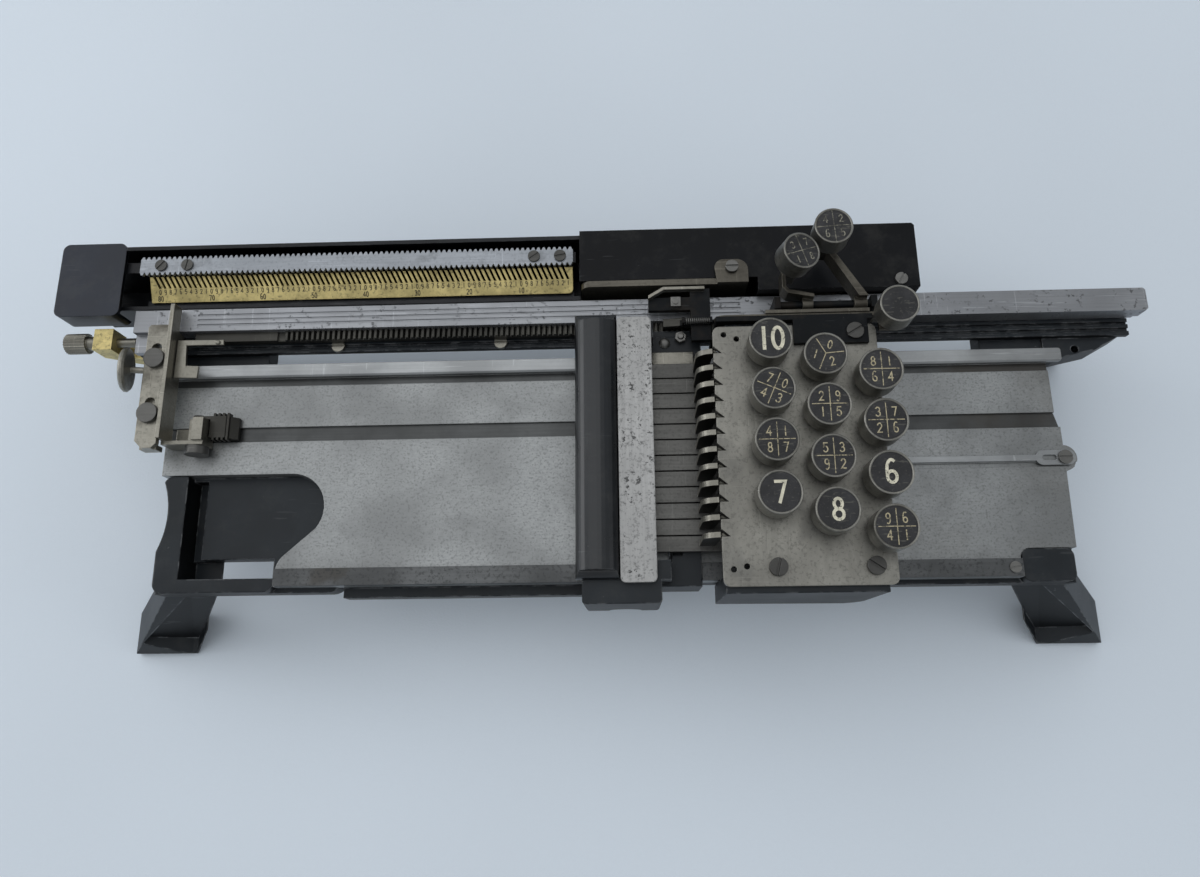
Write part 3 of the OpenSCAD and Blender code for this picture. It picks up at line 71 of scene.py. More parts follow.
class CardPunchFinish(bpy.types.PropertyGroup):
    enamel: colour_setting("Enamel", "Black enamel on the castings", (0.015, 0.019, 0.0235))
    sheet: colour_setting("Sheet paint", "Blue-black paint on the sheet-metal housing", (0.0085, 0.0095, 0.0125))
    cap: colour_setting("Cap paint", "Slate paint on the end cap", (0.004, 0.009, 0.022))
    cover: colour_setting("Half-round cover", "Black paint on the half-round cover", (0.007, 0.009, 0.012))
    bed: colour_setting("Bed steel", "Ground steel of the bed", (0.30, 0.31, 0.312))
    guide: colour_setting("Guide steel", "Planed steel of the guides", (0.36, 0.372, 0.38))
    bar: colour_setting("Bar steel", "Drawn steel of the carriage bar", (0.33, 0.34, 0.36))
    comb: colour_setting("Comb steel", "Bright steel of the comb", (0.32, 0.34, 0.37))
    pitted: colour_setting("Pitted steel", "Bright steel of the flat cover plate", (0.38, 0.38, 0.377))
    plate: colour_setting("Keyboard plate", "Speckled grey steel of the keyboard plate", (0.27, 0.262, 0.235))
    oiled: colour_setting("Oiled steel", "Dark oiled steel of rack and jaw", (0.06, 0.058, 0.052))
    browned: colour_setting("Browned steel", "Browned steel of the levers", (0.13, 0.12, 0.10))
    nickel: colour_setting("Nickel", "Worn warm nickel", (0.28, 0.268, 0.232))
    key_cup: colour_setting("Key cup", "Nickel cup of a key", (0.26, 0.253, 0.23))
    brass: colour_setting("Brass", "Aged brass of the scale", (0.62, 0.515, 0.235))
    screw: colour_setting("Screw steel", "Worn plated steel of the screws", (0.19, 0.187, 0.178))
    insert: colour_setting("Key insert", "Black insert of a key", (0.022, 0.022, 0.024))
    paint: colour_setting("Legend paint", "Cream paint of the numbers", (0.82, 0.78, 0.62))
    wear: share_setting("Wear", "How far paint is rubbed off at edges", 0.75)


class CardPunchSizes(bpy.types.PropertyGroup):
    legend_rise: length_setting("Legend rise", "How far a number stands above its key", 0.00006)
    wire: length_setting("Spring wire", "Thickness of the small spring's wire", 0.00062)
    rim: length_setting("Key rim", "Thickness of the rolled rim round a key's insert", 0.00042)
    nut: length_setting("Nut", "Width across flats of the hexagon nuts", 0.0044)


class CardPunchStage(bpy.types.PropertyGroup):
    floor: colour_setting("Floor", "Pale floor under the machine", (0.80, 0.875, 0.96))
    sky: share_setting("Sky level", "Strength of the even light from all sides", 0.44)
    softbox: bpy.props.FloatProperty(
        name="Softbox", description="Power of the large lamp overhead", default=11.0, min=0, unit="POWER")
    lens: bpy.props.FloatProperty(
        name="Lens", description="Focal length of the camera", default=26.738, min=1, unit="CAMERA")


def finish_settings():
    return bpy.context.scene.card_punch_finish


def size_settings():
    return bpy.context.scene.card_punch_sizes


# ---- Shader trees written as Python ----

class Value:
    """A socket of a material's tree. Python operators on it add Math nodes."""

    def __init__(self, paint, socket):
        self.paint, self.socket = paint, socket

    def maths(self, operation, first, second):
        return self.paint.node("ShaderNodeMath", {"operation": operation}, {0: first, 1: second})

    def __add__(self, other):
        return self.maths("ADD", self, other)

    def __sub__(self, other):
        return self.maths("SUBTRACT", self, other)

    def __rsub__(self, other):
        return self.maths("SUBTRACT", other, self)

    def __mul__(self, other):
        return self.maths("MULTIPLY", self, other)

    __radd__ = __add__
    __rmul__ = __mul__


class Paint:
    """A material and its node tree. node() adds every node that isn't written as an operator."""

    def __init__(self, name):
        self.material = bpy.data.materials.new(name + "_look")
        self.material.use_nodes = True
        self.tree = self.material.node_tree
        self.tree.nodes.clear()
        self.kept = {}

    def node(self, kind, settings=None, inputs=None, output=0):
        """Adds a node. Its settings are set first, then the values or links of its sockets."""
        made = self.tree.nodes.new(kind)
        for key, value in (settings or {}).items():
            setattr(made, key, value)
        for key, value in (inputs or {}).items():
            if isinstance(value, Value):
                self.tree.links.new(value.socket, made.inputs[key])
            else:
                made.inputs[key].default_value = value
        return Value(self, made.outputs[output]) if len(made.outputs) else None

    def once(self, key, make):
        if key not in self.kept:
            self.kept[key] = make()
        return self.kept[key]

    def where(self, stretch=(1, 1, 1), turn=0.0):
        """Place on the piece in metres, stretched and turned about the vertical."""
        place = self.once("place", lambda: self.node("ShaderNodeTexCoord", output="Object"))
        return self.node("ShaderNodeMapping", {}, {"Vector": place, "Rotation": (0, 0, turn), "Scale": stretch})

    def noise(self, scale, detail=2.0, rough=0.5, stretch=(1, 1, 1), turn=0.0):
        return self.node("ShaderNodeTexNoise", {}, {
            "Vector": self.where(stretch, turn), "Scale": scale, "Detail": detail, "Roughness": rough})

    def step(self, value, low, high):
        """0 below low and 1 above high, smooth between them; low above high turns it round."""
        return self.node("ShaderNodeMapRange", {"interpolation_type": "SMOOTHSTEP"}, {
            "Value": value, "From Min": low, "From Max": high})

    def mix(self, factor, first, second):
        inputs = {0: factor}
        for key, colour in ((6, first), (7, second)):
            inputs[key] = colour if isinstance(colour, Value) else (*colour, 1.0)
        return self.node("ShaderNodeMix", {"data_type": "RGBA"}, inputs, 2)

    def rounded(self, radius):
        return self.node("ShaderNodeBevel", {"samples": 4}, {"Radius": radius})

    def facing(self):
        return self.once("facing", lambda: self.node("ShaderNodeNewGeometry", output="Normal"))

    def edges(self, rounded, low=0.015, high=0.2):
        flat = self.node("ShaderNodeVectorMath", {"operation": "DOT_PRODUCT"}, {0: rounded, 1: self.facing()}, "Value")
        return self.step(1 - flat, low, high)

    def upward(self, low=0.5, high=0.95):
        height = self.node("ShaderNodeSeparateXYZ", {}, {0: self.facing()}, "Z")
        return self.step(height, low, high)

    def surface(self, colour, roughness, metallic, height, depth, rounded=None, **constants):
        bump = {"Height": height, "Distance": depth}
        if rounded is not None:
            bump["Normal"] = rounded
        sockets = {"Base Color": colour, "Roughness": roughness, "Metallic": metallic,
                   "Normal": self.node("ShaderNodeBump", {}, bump)}
        sockets.update({key.replace("_", " "): value for key, value in constants.items()})
        shader = self.node("ShaderNodeBsdfPrincipled", {}, sockets)
        self.node("ShaderNodeOutputMaterial", {}, {"Surface": shader})
        return self.material


def shade(colour, by):
    return tuple(min(1.0, c * by) for c in colour)


def paint_finish(name, colour, rounding, roughness=0.38, specular=0.35, bare=(0.30, 0.31, 0.32), wear=1.0,
                 peel=260.0, brown=0.0):
    """Enamel or paint on metal: a fine uneven skin, rubbed edges, nicks, dust and faint scratches, with painted shade
    on faces that don't face up.
    """
    p = Paint(name)
    wear = wear * finish_settings().wear
    rounded = p.rounded(rounding)
    cloud = p.noise(38, 3, 0.6)
    skin = p.noise(peel, 2, 0.5)
    rub = p.edges(rounded) * p.step(p.noise(170, 4, 0.65), 0.44, 0.60)
    nick = p.step(p.noise(330, 3, 0.7), 0.70, 0.735) * p.step(cloud, 0.44, 0.60)
    lines = p.step(p.noise(60, 2, 0.5, (1, 14, 3), 0.5), 0.665, 0.70) * p.step(p.noise(22, 2), 0.45, 0.60)
    dust = p.upward() * p.step(p.noise(75, 5, 0.7), 0.47, 0.72)
    tone = p.mix(p.step(cloud, 0.3, 0.7), shade(colour, 0.80), shade(colour, 1.25))
    # Painted shade: faces that don't face up are darkened towards 0.15 of the colour, standing in for shade on sides
    # and undersides.
    tone = p.mix(p.upward(0.2, 0.8), shade(colour, 0.15), tone)
    tone = p.mix(dust * 0.10, tone, (0.16, 0.155, 0.14))
    tone = p.mix(lines * 0.16, tone, (0.16, 0.165, 0.17))
    tone = p.mix(nick * (0.5 * wear), tone, shade(bare, 0.8))
    tone = p.mix(rub * wear, tone, bare)
    if brown:
        tone = p.mix(p.step(p.noise(55, 4, 0.7), 0.50, 0.66) * brown, tone, (0.055, 0.040, 0.028))
    dull = cloud * 0.16 + dust * 0.16 + (roughness - 0.10)
    height = skin * 0.35 - nick * 0.8 - rub * 0.2 - lines * 0.2
    return p.surface(tone, dull, rub * (0.8 * wear), height, 0.00006, rounded, Specular_IOR_Level=specular)


def steel_finish(name, colour, rounding, roughness=0.40, grain=(1, 40, 40), grain_scale=26.0, mottle=0.22, stain=0.0,
                 pits=0.0, metal=0.85, dark=(0.10, 0.10, 0.098), bright_edges=0.5, scratches=0.35, speckle=0.0,
                 stain_scale=11.0, speck_scale=900.0):
    """Bare or plated metal: grain along one way, clouds, stains, pits, scratches and brighter edges."""
    p = Paint(name)
    rounded = p.rounded(rounding)
    brushed = p.noise(grain_scale, 3, 0.7, grain)
    cloud = p.noise(30, 4, 0.62)
    blotch = p.noise(120, 5, 0.68)
    tone = p.mix(p.step(cloud, 0.32, 0.68), shade(colour, 1 - mottle), shade(colour, 1 + mottle))
    tone = p.mix(p.step(brushed, 0.35, 0.68) * 0.30, tone, shade(colour, 0.68))
    tone = p.mix(p.step(blotch, 0.48, 0.68) * (0.9 * mottle), tone, shade(colour, 0.55))
    height = brushed * 0.30 + blotch * 0.15
    dull = brushed * 0.14 + cloud * 0.16 + (roughness - 0.15)
    if stain:
        patch = p.step(p.noise(stain_scale, 5, 0.60), 0.54, 0.66)
        tone = p.mix(patch * stain, tone, shade(dark, 1.5))
        dull = dull + patch * 0.10
    if speckle:
        spots = p.step(p.noise(speck_scale, 2, 0.6), 0.52, 0.66)
        tone = p.mix(spots * speckle, tone, shade(colour, 0.42))
        height = height - spots * 0.25
    if pits:
        hole = p.step(p.noise(430, 3, 0.72), 0.59, 0.64) * p.step(p.noise(60, 3, 0.6), 0.40, 0.56)
        tone = p.mix(hole * pits, tone, shade(dark, 0.55))
        height = height - hole * 1.6
        dull = dull + hole * 0.25
    if scratches:
        lines = p.step(p.noise(45, 2, 0.5, (1, 22, 6), 0.9), 0.655, 0.69)
        lines = lines + p.step(p.noise(38, 2, 0.5, (20, 1, 6), 0.35), 0.665, 0.70)
        tone = p.mix(lines * scratches, tone, shade(colour, 1.6))
        height = height - lines * 0.4
    rim = p.edges(rounded)
    tone = p.mix(rim * bright_edges, tone, shade(colour, 1.7))
    return p.surface(tone, dull, metal, height, 0.00005, rounded)


def insert_finish(name, colour):
    """Black pressed insert of a key: speckled, with greyish dust in its grain."""
    p = Paint(name)
    grain = p.noise(900, 4, 0.75)
    cloud = p.noise(130, 3, 0.6)
    fleck = p.step(grain, 0.56, 0.70)
    tone = p.mix(p.step(cloud, 0.35, 0.65), shade(colour, 0.75), shade(colour, 1.5))
    tone = p.mix(fleck * 0.42, tone, (0.14, 0.135, 0.115))
    scuff = p.step(p.noise(230, 2, 0.5, (1, 6, 1), 1.1), 0.63, 0.68)
    tone = p.mix(scuff * 0.35, tone, (0.17, 0.165, 0.14))
    return p.surface(tone, grain * 0.2 + 0.42, 0.0, grain * 0.8 - scuff * 0.3, 0.00005, Specular_IOR_Level=0.4)


def legend_finish(name, colour, worn):
    """Cream paint in an engraved line, rubbed thin in places."""
    p = Paint(name)
    thin = p.step(p.noise(700, 3, 0.7), 0.62 - 0.2 * worn, 0.74 - 0.2 * worn)
    cloud = p.noise(320, 3, 0.6)
    tone = p.mix(p.step(cloud, 0.35, 0.7), colour, shade(colour, 0.72))
    tone = p.mix(thin * 0.85, tone, (0.035, 0.034, 0.03))
    return p.surface(tone, cloud * 0.2 + 0.5, 0.0, cloud, 0.00003)


def brass_finish(name, colour, rounding):
    """Aged brass: olive and golden clouds, dark specks and brighter rubbed edges."""
    p = Paint(name)
    rounded = p.rounded(rounding)
    cloud = p.noise(90, 5, 0.7)
    speck = p.step(p.noise(640, 3, 0.7), 0.55, 0.66)
    brushed = p.noise(30, 2, 0.6, (1, 30, 30))
    tone = p.mix(p.step(cloud, 0.36, 0.64), shade(colour, 0.72), shade(colour, 1.15))
    tone = p.mix(speck * 0.55, tone, (0.11, 0.095, 0.055))
    tone = p.mix(p.edges(rounded) * 0.6, tone, shade(colour, 1.6))
    return p.surface(tone, brushed * 0.2 + cloud * 0.12 + 0.28, 0.85, brushed * 0.3 - speck * 0.6, 0.00005, rounded)


def steel(key, colour_key, rounding=0.0004, **more):
    return steel_finish(key, tuple(getattr(finish_settings(), colour_key)), rounding, **more)


FINISHES = {
    "casting_enamel": lambda s: paint_finish(
        "casting_enamel", tuple(s.enamel), 0.0010, roughness=0.46, specular=0.28),
    "cover_sheet": lambda s: paint_finish(
        "cover_sheet", shade(s.sheet, 0.55), 0.0006, roughness=0.44, specular=0.16, wear=0.35),
    "mechanism_enamel": lambda s: paint_finish(
        "mechanism_enamel", shade(s.enamel, 0.35), 0.0004, roughness=0.55, specular=0.15, bare=(0.12, 0.112, 0.10),
        wear=0.5, peel=420.0, brown=0.25),
    "sheet_paint": lambda s: paint_finish(
        "sheet_paint", tuple(s.sheet), 0.0006, roughness=0.42, specular=0.30, wear=0.35),
    "cap_paint": lambda s: paint_finish(
        "cap_paint", tuple(s.cap), 0.0005, roughness=0.36, specular=0.45, wear=0.3),
    "cover_paint": lambda s: paint_finish(
        "cover_paint", tuple(s.cover), 0.0006, roughness=0.30, specular=0.55, wear=0.5, peel=420.0),
    "bed_steel": lambda s: steel("bed_steel", "bed", grain=(1, 3, 3), grain_scale=420.0, mottle=0.24, stain=0.35,
                                 scratches=0.0, speckle=0.45, stain_scale=9.0, dark=(0.085, 0.08, 0.07), metal=0.75,
                                 speck_scale=1100.0),
    # Grooves of the bed: bed steel darkened to 0.30 with dark stains, partly real dirt and partly painted shade in the
    # recess.
    "groove_steel": lambda s: steel_finish("groove_steel", shade(s.bed, 0.30), 0.0002, mottle=0.35, stain=0.4,
                                           scratches=0.0, bright_edges=0.2, dark=(0.05, 0.04, 0.03)),
    "guide_steel": lambda s: steel("guide_steel", "guide", mottle=0.22, stain=0.22),
    "rail_steel": lambda s: steel_finish("rail_steel", shade(s.guide, 0.30), 0.0004, mottle=0.35, stain=0.5,
                                         stain_scale=40.0, speckle=0.6, scratches=0.05, bright_edges=0.7,
                                         dark=(0.045, 0.04, 0.033)),
    "bar_steel": lambda s: steel("bar_steel", "bar", grain=(1, 60, 60), mottle=0.16, stain=0.15, pits=0.5),
    "comb_steel": lambda s: steel("comb_steel", "comb", 0.0002, mottle=0.14, stain=0.2, stain_scale=60.0,
                                  speckle=0.25),
    "pitted_steel": lambda s: steel("pitted_steel", "pitted", 0.0005, grain=(30, 1, 30), mottle=0.14, pits=0.7,
                                    scratches=0.03, speckle=0.55),
    "plate_steel": lambda s: steel("plate_steel", "plate", 0.0004, grain=(4, 1, 4), grain_scale=120.0, mottle=0.26,
                                   stain=0.22, stain_scale=45.0, speckle=0.45, scratches=0.12, metal=0.7),
    "oiled_steel": lambda s: steel("oiled_steel", "oiled", 0.0003, mottle=0.35, metal=0.8, bright_edges=0.65,
                                   dark=(0.02, 0.02, 0.018)),
    # Sides of the fins: oiled steel darkened to near black, partly dark steel and partly painted shade below the top
    # edges.
    "fin_steel": lambda s: steel_finish("fin_steel", shade(s.oiled, 0.12), 0.0003, mottle=0.4, metal=0.3,
                                        roughness=0.36, bright_edges=0.4, scratches=0.0),
    "fin_edge": lambda s: steel_finish("fin_edge", shade(s.nickel, 0.95), 0.0002, mottle=0.2, stain=0.2,
                                       stain_scale=60.0, speckle=0.2),
    "interposer_steel": lambda s: steel_finish("interposer_steel", shade(s.screw, 0.62), 0.0004, grain=(1, 40, 40),
                                               mottle=0.3, bright_edges=1.0, speckle=0.3),
    "arm_nickel": lambda s: steel("arm_nickel", "nickel", 0.0005, roughness=0.36, grain=(4, 4, 4), mottle=0.22,
                                  stain=0.75, stain_scale=34.0, speckle=0.4, metal=0.9, dark=(0.04, 0.035, 0.028)),
    "comb_screw": lambda s: steel_finish("comb_screw", shade(s.screw, 0.45), 0.0004, mottle=0.3, bright_edges=0.5),
    "browned_steel": lambda s: steel("browned_steel", "browned", 0.0004, mottle=0.3, stain=0.4, stain_scale=50.0,
                                     speckle=0.35, dark=(0.035, 0.03, 0.025), bright_edges=0.8),
    "nickel": lambda s: steel("nickel", "nickel", 0.0004, roughness=0.34, grain=(4, 4, 4), mottle=0.16, stain=0.3,
                              stain_scale=60.0, speckle=0.25, metal=0.9, dark=(0.09, 0.08, 0.06)),
    "key_nickel": lambda s: steel("key_nickel", "key_cup", 0.0005, roughness=0.36, grain=(1, 1, 30), mottle=0.2,
                                  stain=0.45, stain_scale=70.0, speckle=0.35, metal=0.9, dark=(0.06, 0.056, 0.045)),
    "screw_steel": lambda s: steel("screw_steel", "screw", 0.0004, mottle=0.25, stain=0.25, stain_scale=90.0,
                                   bright_edges=0.8),
    "oiled_screw": lambda s: steel_finish("oiled_screw", shade(s.screw, 0.62), 0.0005, mottle=0.25, stain=0.2,
                                          stain_scale=90.0, bright_edges=0.6),
    "aged_brass": lambda s: brass_finish("aged_brass", tuple(s.brass), 0.0003),
    "key_insert": lambda s: insert_finish("key_insert", tuple(s.insert)),
    "legend_paint": lambda s: legend_finish("legend_paint", tuple(s.paint), 0.35),
    "faint_legend": lambda s: legend_finish("faint_legend", shade(s.paint, 0.42), 0.85),
    "quarter_legend": lambda s: legend_finish("quarter_legend", (0.56, 0.49, 0.32), 0.6),
    "engraving": lambda s: legend_finish("engraving", (0.035, 0.028, 0.014), 0.0),
}


def finish(name):
    return bpy.data.materials.get(name + "_look") or FINISHES[name](finish_settings())


# ---- Meshes ----

def at(x, y, z):
    """A point in millimetres from the card's corner, in the row frame in metres."""
    return (Vector((x, y, z)) + CARD_CORNER) * MM


def upright(x, y, z):
    """Places a shape made in millimetres, upright at a point."""
    return Matrix.Translation(at(x, y, z)) @ Matrix.Scale(MM, 4)


def add_piece(name, made, body, finish_name, sharp=32.0):
    """Turns a bmesh into a piece that rides on a body."""
    bmesh.ops.recalc_face_normals(made, faces=made.faces)
    mesh = bpy.data.meshes.new(name)
    made.to_mesh(mesh)
    made.free()
    mesh.shade_smooth()
    mesh.set_sharp_from_angle(angle=math.radians(sharp))
    piece = bpy.data.objects.new(name, mesh)
    bpy.context.scene.collection.objects.link(piece)
    mesh.materials.append(finish(finish_name))
    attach(piece, body)
    return piece


def bridge(made, rings):
    """Joins rings of points, given in order, into a tube with closed ends."""
    loops = [[made.verts.new(p) for p in ring] for ring in rings]
    sides = len(loops[0])
    for near, far in zip(loops, loops[1:]):
        for i in range(sides):
            j = (i + 1) % sides
            made.faces.new((near[i], near[j], far[j], far[i]))
    made.faces.new(loops[0][::-1])
    made.faces.new(loops[-1])


def lathe(made, profile, place, sides):
    """Turns a profile of (radius, height) points about the local vertical."""
    rings = [[place @ Vector((r * math.cos(a), r * math.sin(a), z)) for a in turn_angles(sides)] for r, z in profile]
    bridge(made, rings)


def turn_angles(count, start=0.0):
    return [start + 2 * math.pi * i / count for i in range(count)]


def ring_shape(made, outline, place, sides=64):
    """Turns a closed outline of (radius, height) points into a ring."""
    rings = [[place @ Vector((r * math.cos(a), r * math.sin(a), z)) for r, z in outline] for a in turn_angles(sides)]
    loops = [[made.verts.new(p) for p in ring] for ring in rings]
    count = len(outline)
    for k in range(sides):
        near, far = loops[k], loops[(k + 1) % sides]
        for i in range(count):
            j = (i + 1) % count
            made.faces.new((near[i], near[j], far[j], far[i]))


def prism(made, outline, low, high, place, chamfer=0.0):
    """Extrudes an outline between two heights, with its top and bottom edges chamfered."""
    centre = Vector((sum(p[0] for p in outline) / len(outline), sum(p[1] for p in outline) / len(outline), 0))
    levels = [(low, 0), (high, 0)]
    if chamfer:
        levels = [(low, chamfer), (low + chamfer, 0), (high - chamfer, 0), (high, chamfer)]
    rings = []
    for z, inset in levels:
        ring = []
        for x, y in outline:
            out = Vector((x, y, 0)) - centre
            out = out - out.normalized() * inset
            ring.append(place @ (centre + out + Vector((0, 0, z))))
        rings.append(ring)
    bridge(made, rings)


def wire(made, points, radius, sides=10):
    """Sweeps a round wire along points, keeping its section from twisting."""
    points = [Vector(p) for p in points]
    ways = [(points[min(i + 1, len(points) - 1)] - points[max(i - 1, 0)]).normalized() for i in range(len(points))]
    side = ways[0].orthogonal().normalized()
    rings = []
    for point, way in zip(points, ways):
        side = (side - way * side.dot(way)).normalized()
        other = way.cross(side)
        rings.append([point + radius * (math.cos(a) * side + math.sin(a) * other) for a in turn_angles(sides)])
    bridge(made, rings)


def rounded_box(made, low, high, radius, steps=3):
    """A box between two corners in metres, all its edges rounded."""
    size = [b - a for a, b in zip(low, high)]
    middle = [(a + b) / 2 for a, b in zip(low, high)]
    found = bmesh.ops.create_cube(made, size=1.0, matrix=Matrix.Translation(middle) @ Matrix.Diagonal((*size, 1)))
    edges = {e for v in found["verts"] for e in v.link_edges}
    bmesh.ops.bevel(made, geom=list(edges), offset=radius, segments=steps, profile=0.5, affect="EDGES")


def set_finish(finish_name, *nodes):
    """Gives CAD nodes a procedural finish."""
    for node in nodes:
        slots = NODES[node].data.materials
        slots.clear()
        slots.append(finish(finish_name))


def set_part_finish(finish_name, node, inside):
    """Gives the faces of a CAD node whose middles pass a test a finish of their own."""
    mesh = NODES[node].data
    mesh.materials.append(finish(finish_name))
    index = len(mesh.materials) - 1
    for face in mesh.polygons:
        x, y, z = face.center / MM - CARD_CORNER
        if inside(x, y, z):
            face.material_index = index


# ---- Numbers drawn with a round pen ----

def bow(x, y, across, up, start, end, steps):
    angles = [math.radians(start + (end - start) * i / steps) for i in range(steps + 1)]
    return [(x + across * math.cos(a), y + up * math.sin(a)) for a in angles]


SIX = [bow(0.1, 0.5, 1.5, 3.1, 62, 190, 10) + bow(0, -1.35, 1.4, 1.65, 170, -190, 16)]
DIGITS = {
    "0": [bow(0, 0, 1.45, 3.0, 90, -270, 22)],
    "1": [[(0, -3), (0, 3)]],
    "2": [bow(0, 1.35, 1.45, 1.65, 165, -30, 10) + [(-1.5, -3), (1.6, -3)]],
    "3": [bow(-0.1, 1.5, 1.4, 1.5, 150, -90, 10) + bow(-0.1, -1.4, 1.6, 1.6, 80, -150, 12)],
    "4": [[(0.8, -3), (0.8, 3), (-1.7, -1.1), (1.7, -1.1)]],
    "5": [[(1.4, 3), (-1.1, 3), (-1.3, 0.4)] + bow(-0.1, -1.1, 1.6, 1.9, 120, -145, 12)],
    "6": SIX,
    "7": [[(-1.5, 3), (1.5, 3), (-0.4, -3)]],
    "8": [bow(0, 1.5, 1.2, 1.5, 90, -270, 16), bow(0, -1.5, 1.5, 1.5, 90, -270, 16)],
    "9": [[(-x, -y) for x, y in SIX[0]]],
}


def pen_stroke(made, points, width, low, high, place, lift=None):
    """A flat stroke with round ends along points; lift raises it to follow a domed top."""
    corners = [Vector(p) for p in points]
    points = [corners[0]]
    for near, far in zip(corners, corners[1:]):
        parts = max(1, math.ceil((far - near).length / 0.8)) if lift else 1
        points += [near.lerp(far, (i + 1) / parts) for i in range(parts)]
    closed = (points[0] - points[-1]).length < 1e-6
    if closed:
        points = points[:-1]
    count = len(points)
    half = width / 2
    left, right = [], []
    for i, point in enumerate(points):
        before = points[i - 1] if closed or i else point
        after = points[(i + 1) % count] if closed or i < count - 1 else point
        came = (point - before).normalized() if (point - before).length else (after - point).normalized()
        goes = (after - point).normalized() if (after - point).length else came
        way = (came + goes).normalized()
        across = Vector((-way.y, way.x)) * half / max(0.45, way.dot(goes))
        left.append(point + across)
        right.append(point - across)
    if not closed:
        for index, near in ((0, points[1]), (-1, points[-2])):
            out = (points[index] - near).normalized() * half * 0.7
            left[index] += out
            right[index] += out

    def corner(flat, z):
        rise = lift(flat) if lift else 0.0
        return made.verts.new(place @ Vector((flat.x, flat.y, z + rise)))

    rings = [[corner(a, low), corner(b, low), corner(b, high), corner(a, high)] for a, b in zip(left, right)]
    pairs = list(zip(rings, rings[1:])) + ([(rings[-1], rings[0])] if closed else [])
    for near, far in pairs:
        for i in range(4):
            j = (i + 1) % 4
            made.faces.new((near[i], near[j], far[j], far[i]))
    if not closed:
        made.faces.new(rings[0][::-1])
        made.faces.new(rings[-1])


def write_number(made, text, middle, height, width, thick, low, high, place, lift=None, turn=0.0, spacing=4.6):
    """Writes digits centred on a point, at the given height, narrowed or widened by width."""
    scale = height / 6.0
    way = Matrix.Rotation(turn, 2)
    for n, digit in enumerate(text):
        along = (n - (len(text) - 1) / 2) * spacing * scale * width
        for stroke in DIGITS[digit]:
            points = [Vector(middle) + way @ Vector((along + x * scale * width, y * scale)) for x, y in stroke]
            pen_stroke(made, points, thick, low, high, place, lift)


# ---- Keys ----

KEY_TOP = 105.7
KEY_RADIUS = 7.9
REAR_KEY_RADIUS = 7.2
REAR_KEY_LOW = 97.3
KEY_HEIGHT = 8.7
RELEASE_TILT = math.radians(14)
RIM_INSET = 0.36
RIM_LIFT = 0.02
INSERT_INSET = 0.62
INSERT_SINK = 0.02
INSERT_DEPTH = 1.1
INSERT_STEPS = 8
DOME = 0.16
LEGEND_DEPTH = 0.06
LEGEND_REACH = 6.3
LEGEND_WIDTH = 0.9
QUARTERS = {2: "8164", 4: "2915", 5: "3726", 6: "4187", 7: "5392", 11: "9641"}
QUARTER_SPOTS = [(-2.8, 2.9), (3.0, 2.9), (-2.7, -3.0), (3.0, -3.0)]


def key_place(k):
    return 34.4 + 19.4 * (k % 3), -ROW_PITCH * (k + 1)


def dome_rise(radius):
    return lambda flat: -DOME * (flat.length / radius) ** 2


def key_top_pieces(name, place, radius, body, draw, legend="quarter_legend"):
    """Rolled rim, domed insert and painted number of one key; place has its origin at the cup's top."""
    made = bmesh.new()
    rim = size_settings().rim / MM
    middle = radius - RIM_INSET
    outline = [(middle + rim * math.cos(a) * 1.02, RIM_LIFT + rim * 0.75 * math.sin(a)) for a in turn_angles(10)]
    ring_shape(made, outline, place)
    add_piece(name + "_rim", made, body, "key_nickel", 60)
    made = bmesh.new()
    edge = radius - INSERT_INSET
    top = DOME - INSERT_SINK
    profile = [(edge, -INSERT_DEPTH), (edge, -INSERT_SINK)]
    for i in range(INSERT_STEPS):
        out = 1 - i / INSERT_STEPS
        profile.append((edge * out * 0.999 + 0.001, DOME * (1 - out ** 2) - INSERT_SINK))
    profile.append((0.02, top))
    lathe(made, profile, place, 56)
    add_piece(name + "_insert", made, body, "key_insert", 50)
    if draw:
        made = bmesh.new()
        rise = size_settings().legend_rise / MM
        draw(made, top - LEGEND_DEPTH, top + rise, place, dome_rise(edge))
        add_piece(name + "_legend", made, body, legend, 40)


def draw_quarters(text, turn=0.0, height=3.3, thick=0.42):
    def draw(made, low, high, place, lift):
        turned = place @ Matrix.Rotation(turn, 4, "Z")
        for line in ([(-LEGEND_REACH, 0.0), (LEGEND_REACH, 0.0)], [(0.1, LEGEND_REACH), (0.1, -LEGEND_REACH)]):
            steps = [Vector(line[0]).lerp(Vector(line[1]), i / 8) for i in range(9)]
            pen_stroke(made, steps, thick * 0.72, low, high - 0.01, turned, lift)
        for digit, spot in zip(text, QUARTER_SPOTS):
            write_number(made, digit, spot, height, LEGEND_WIDTH, thick, low, high, turned, lift)
    return draw


def draw_thirds(made, low, high, place, lift):
    for angle in (5, 118, 246):
        way = Vector((math.cos(math.radians(angle)), math.sin(math.radians(angle))))
        pen_stroke(made, [way * (0.15 + LEGEND_REACH * i / 6) for i in range(7)], 0.32, low, high - 0.01, place, lift)
    for digit, angle, tilt in (("1", 184, -0.35), ("0", 62, -0.3), ("2", 304, 0.2)):
        spot = (3.7 * math.cos(math.radians(angle)), 3.7 * math.sin(math.radians(angle)))
        write_number(made, digit, spot, 3.1, LEGEND_WIDTH, 0.42, low, high, place, lift, tilt)


def draw_large(text, height, thick):
    def draw(made, low, high, place, lift):
        write_number(made, text, (0.0, 0.0), height, 0.95, thick, low, high, place, lift, spacing=3.9)
    return draw


# ---- Places of the fine parts, in millimetres from the card's corner ----

# Brass scale: its foot (depth, height), its slope from the level and its right end
SCALE_FOOT = (32.2, 63.6)
SCALE_TILT = math.radians(22)
SCALE_THICKNESS = 1.4
SCALE_RIGHT = -40.2
SCALE_MARGIN = 2.0
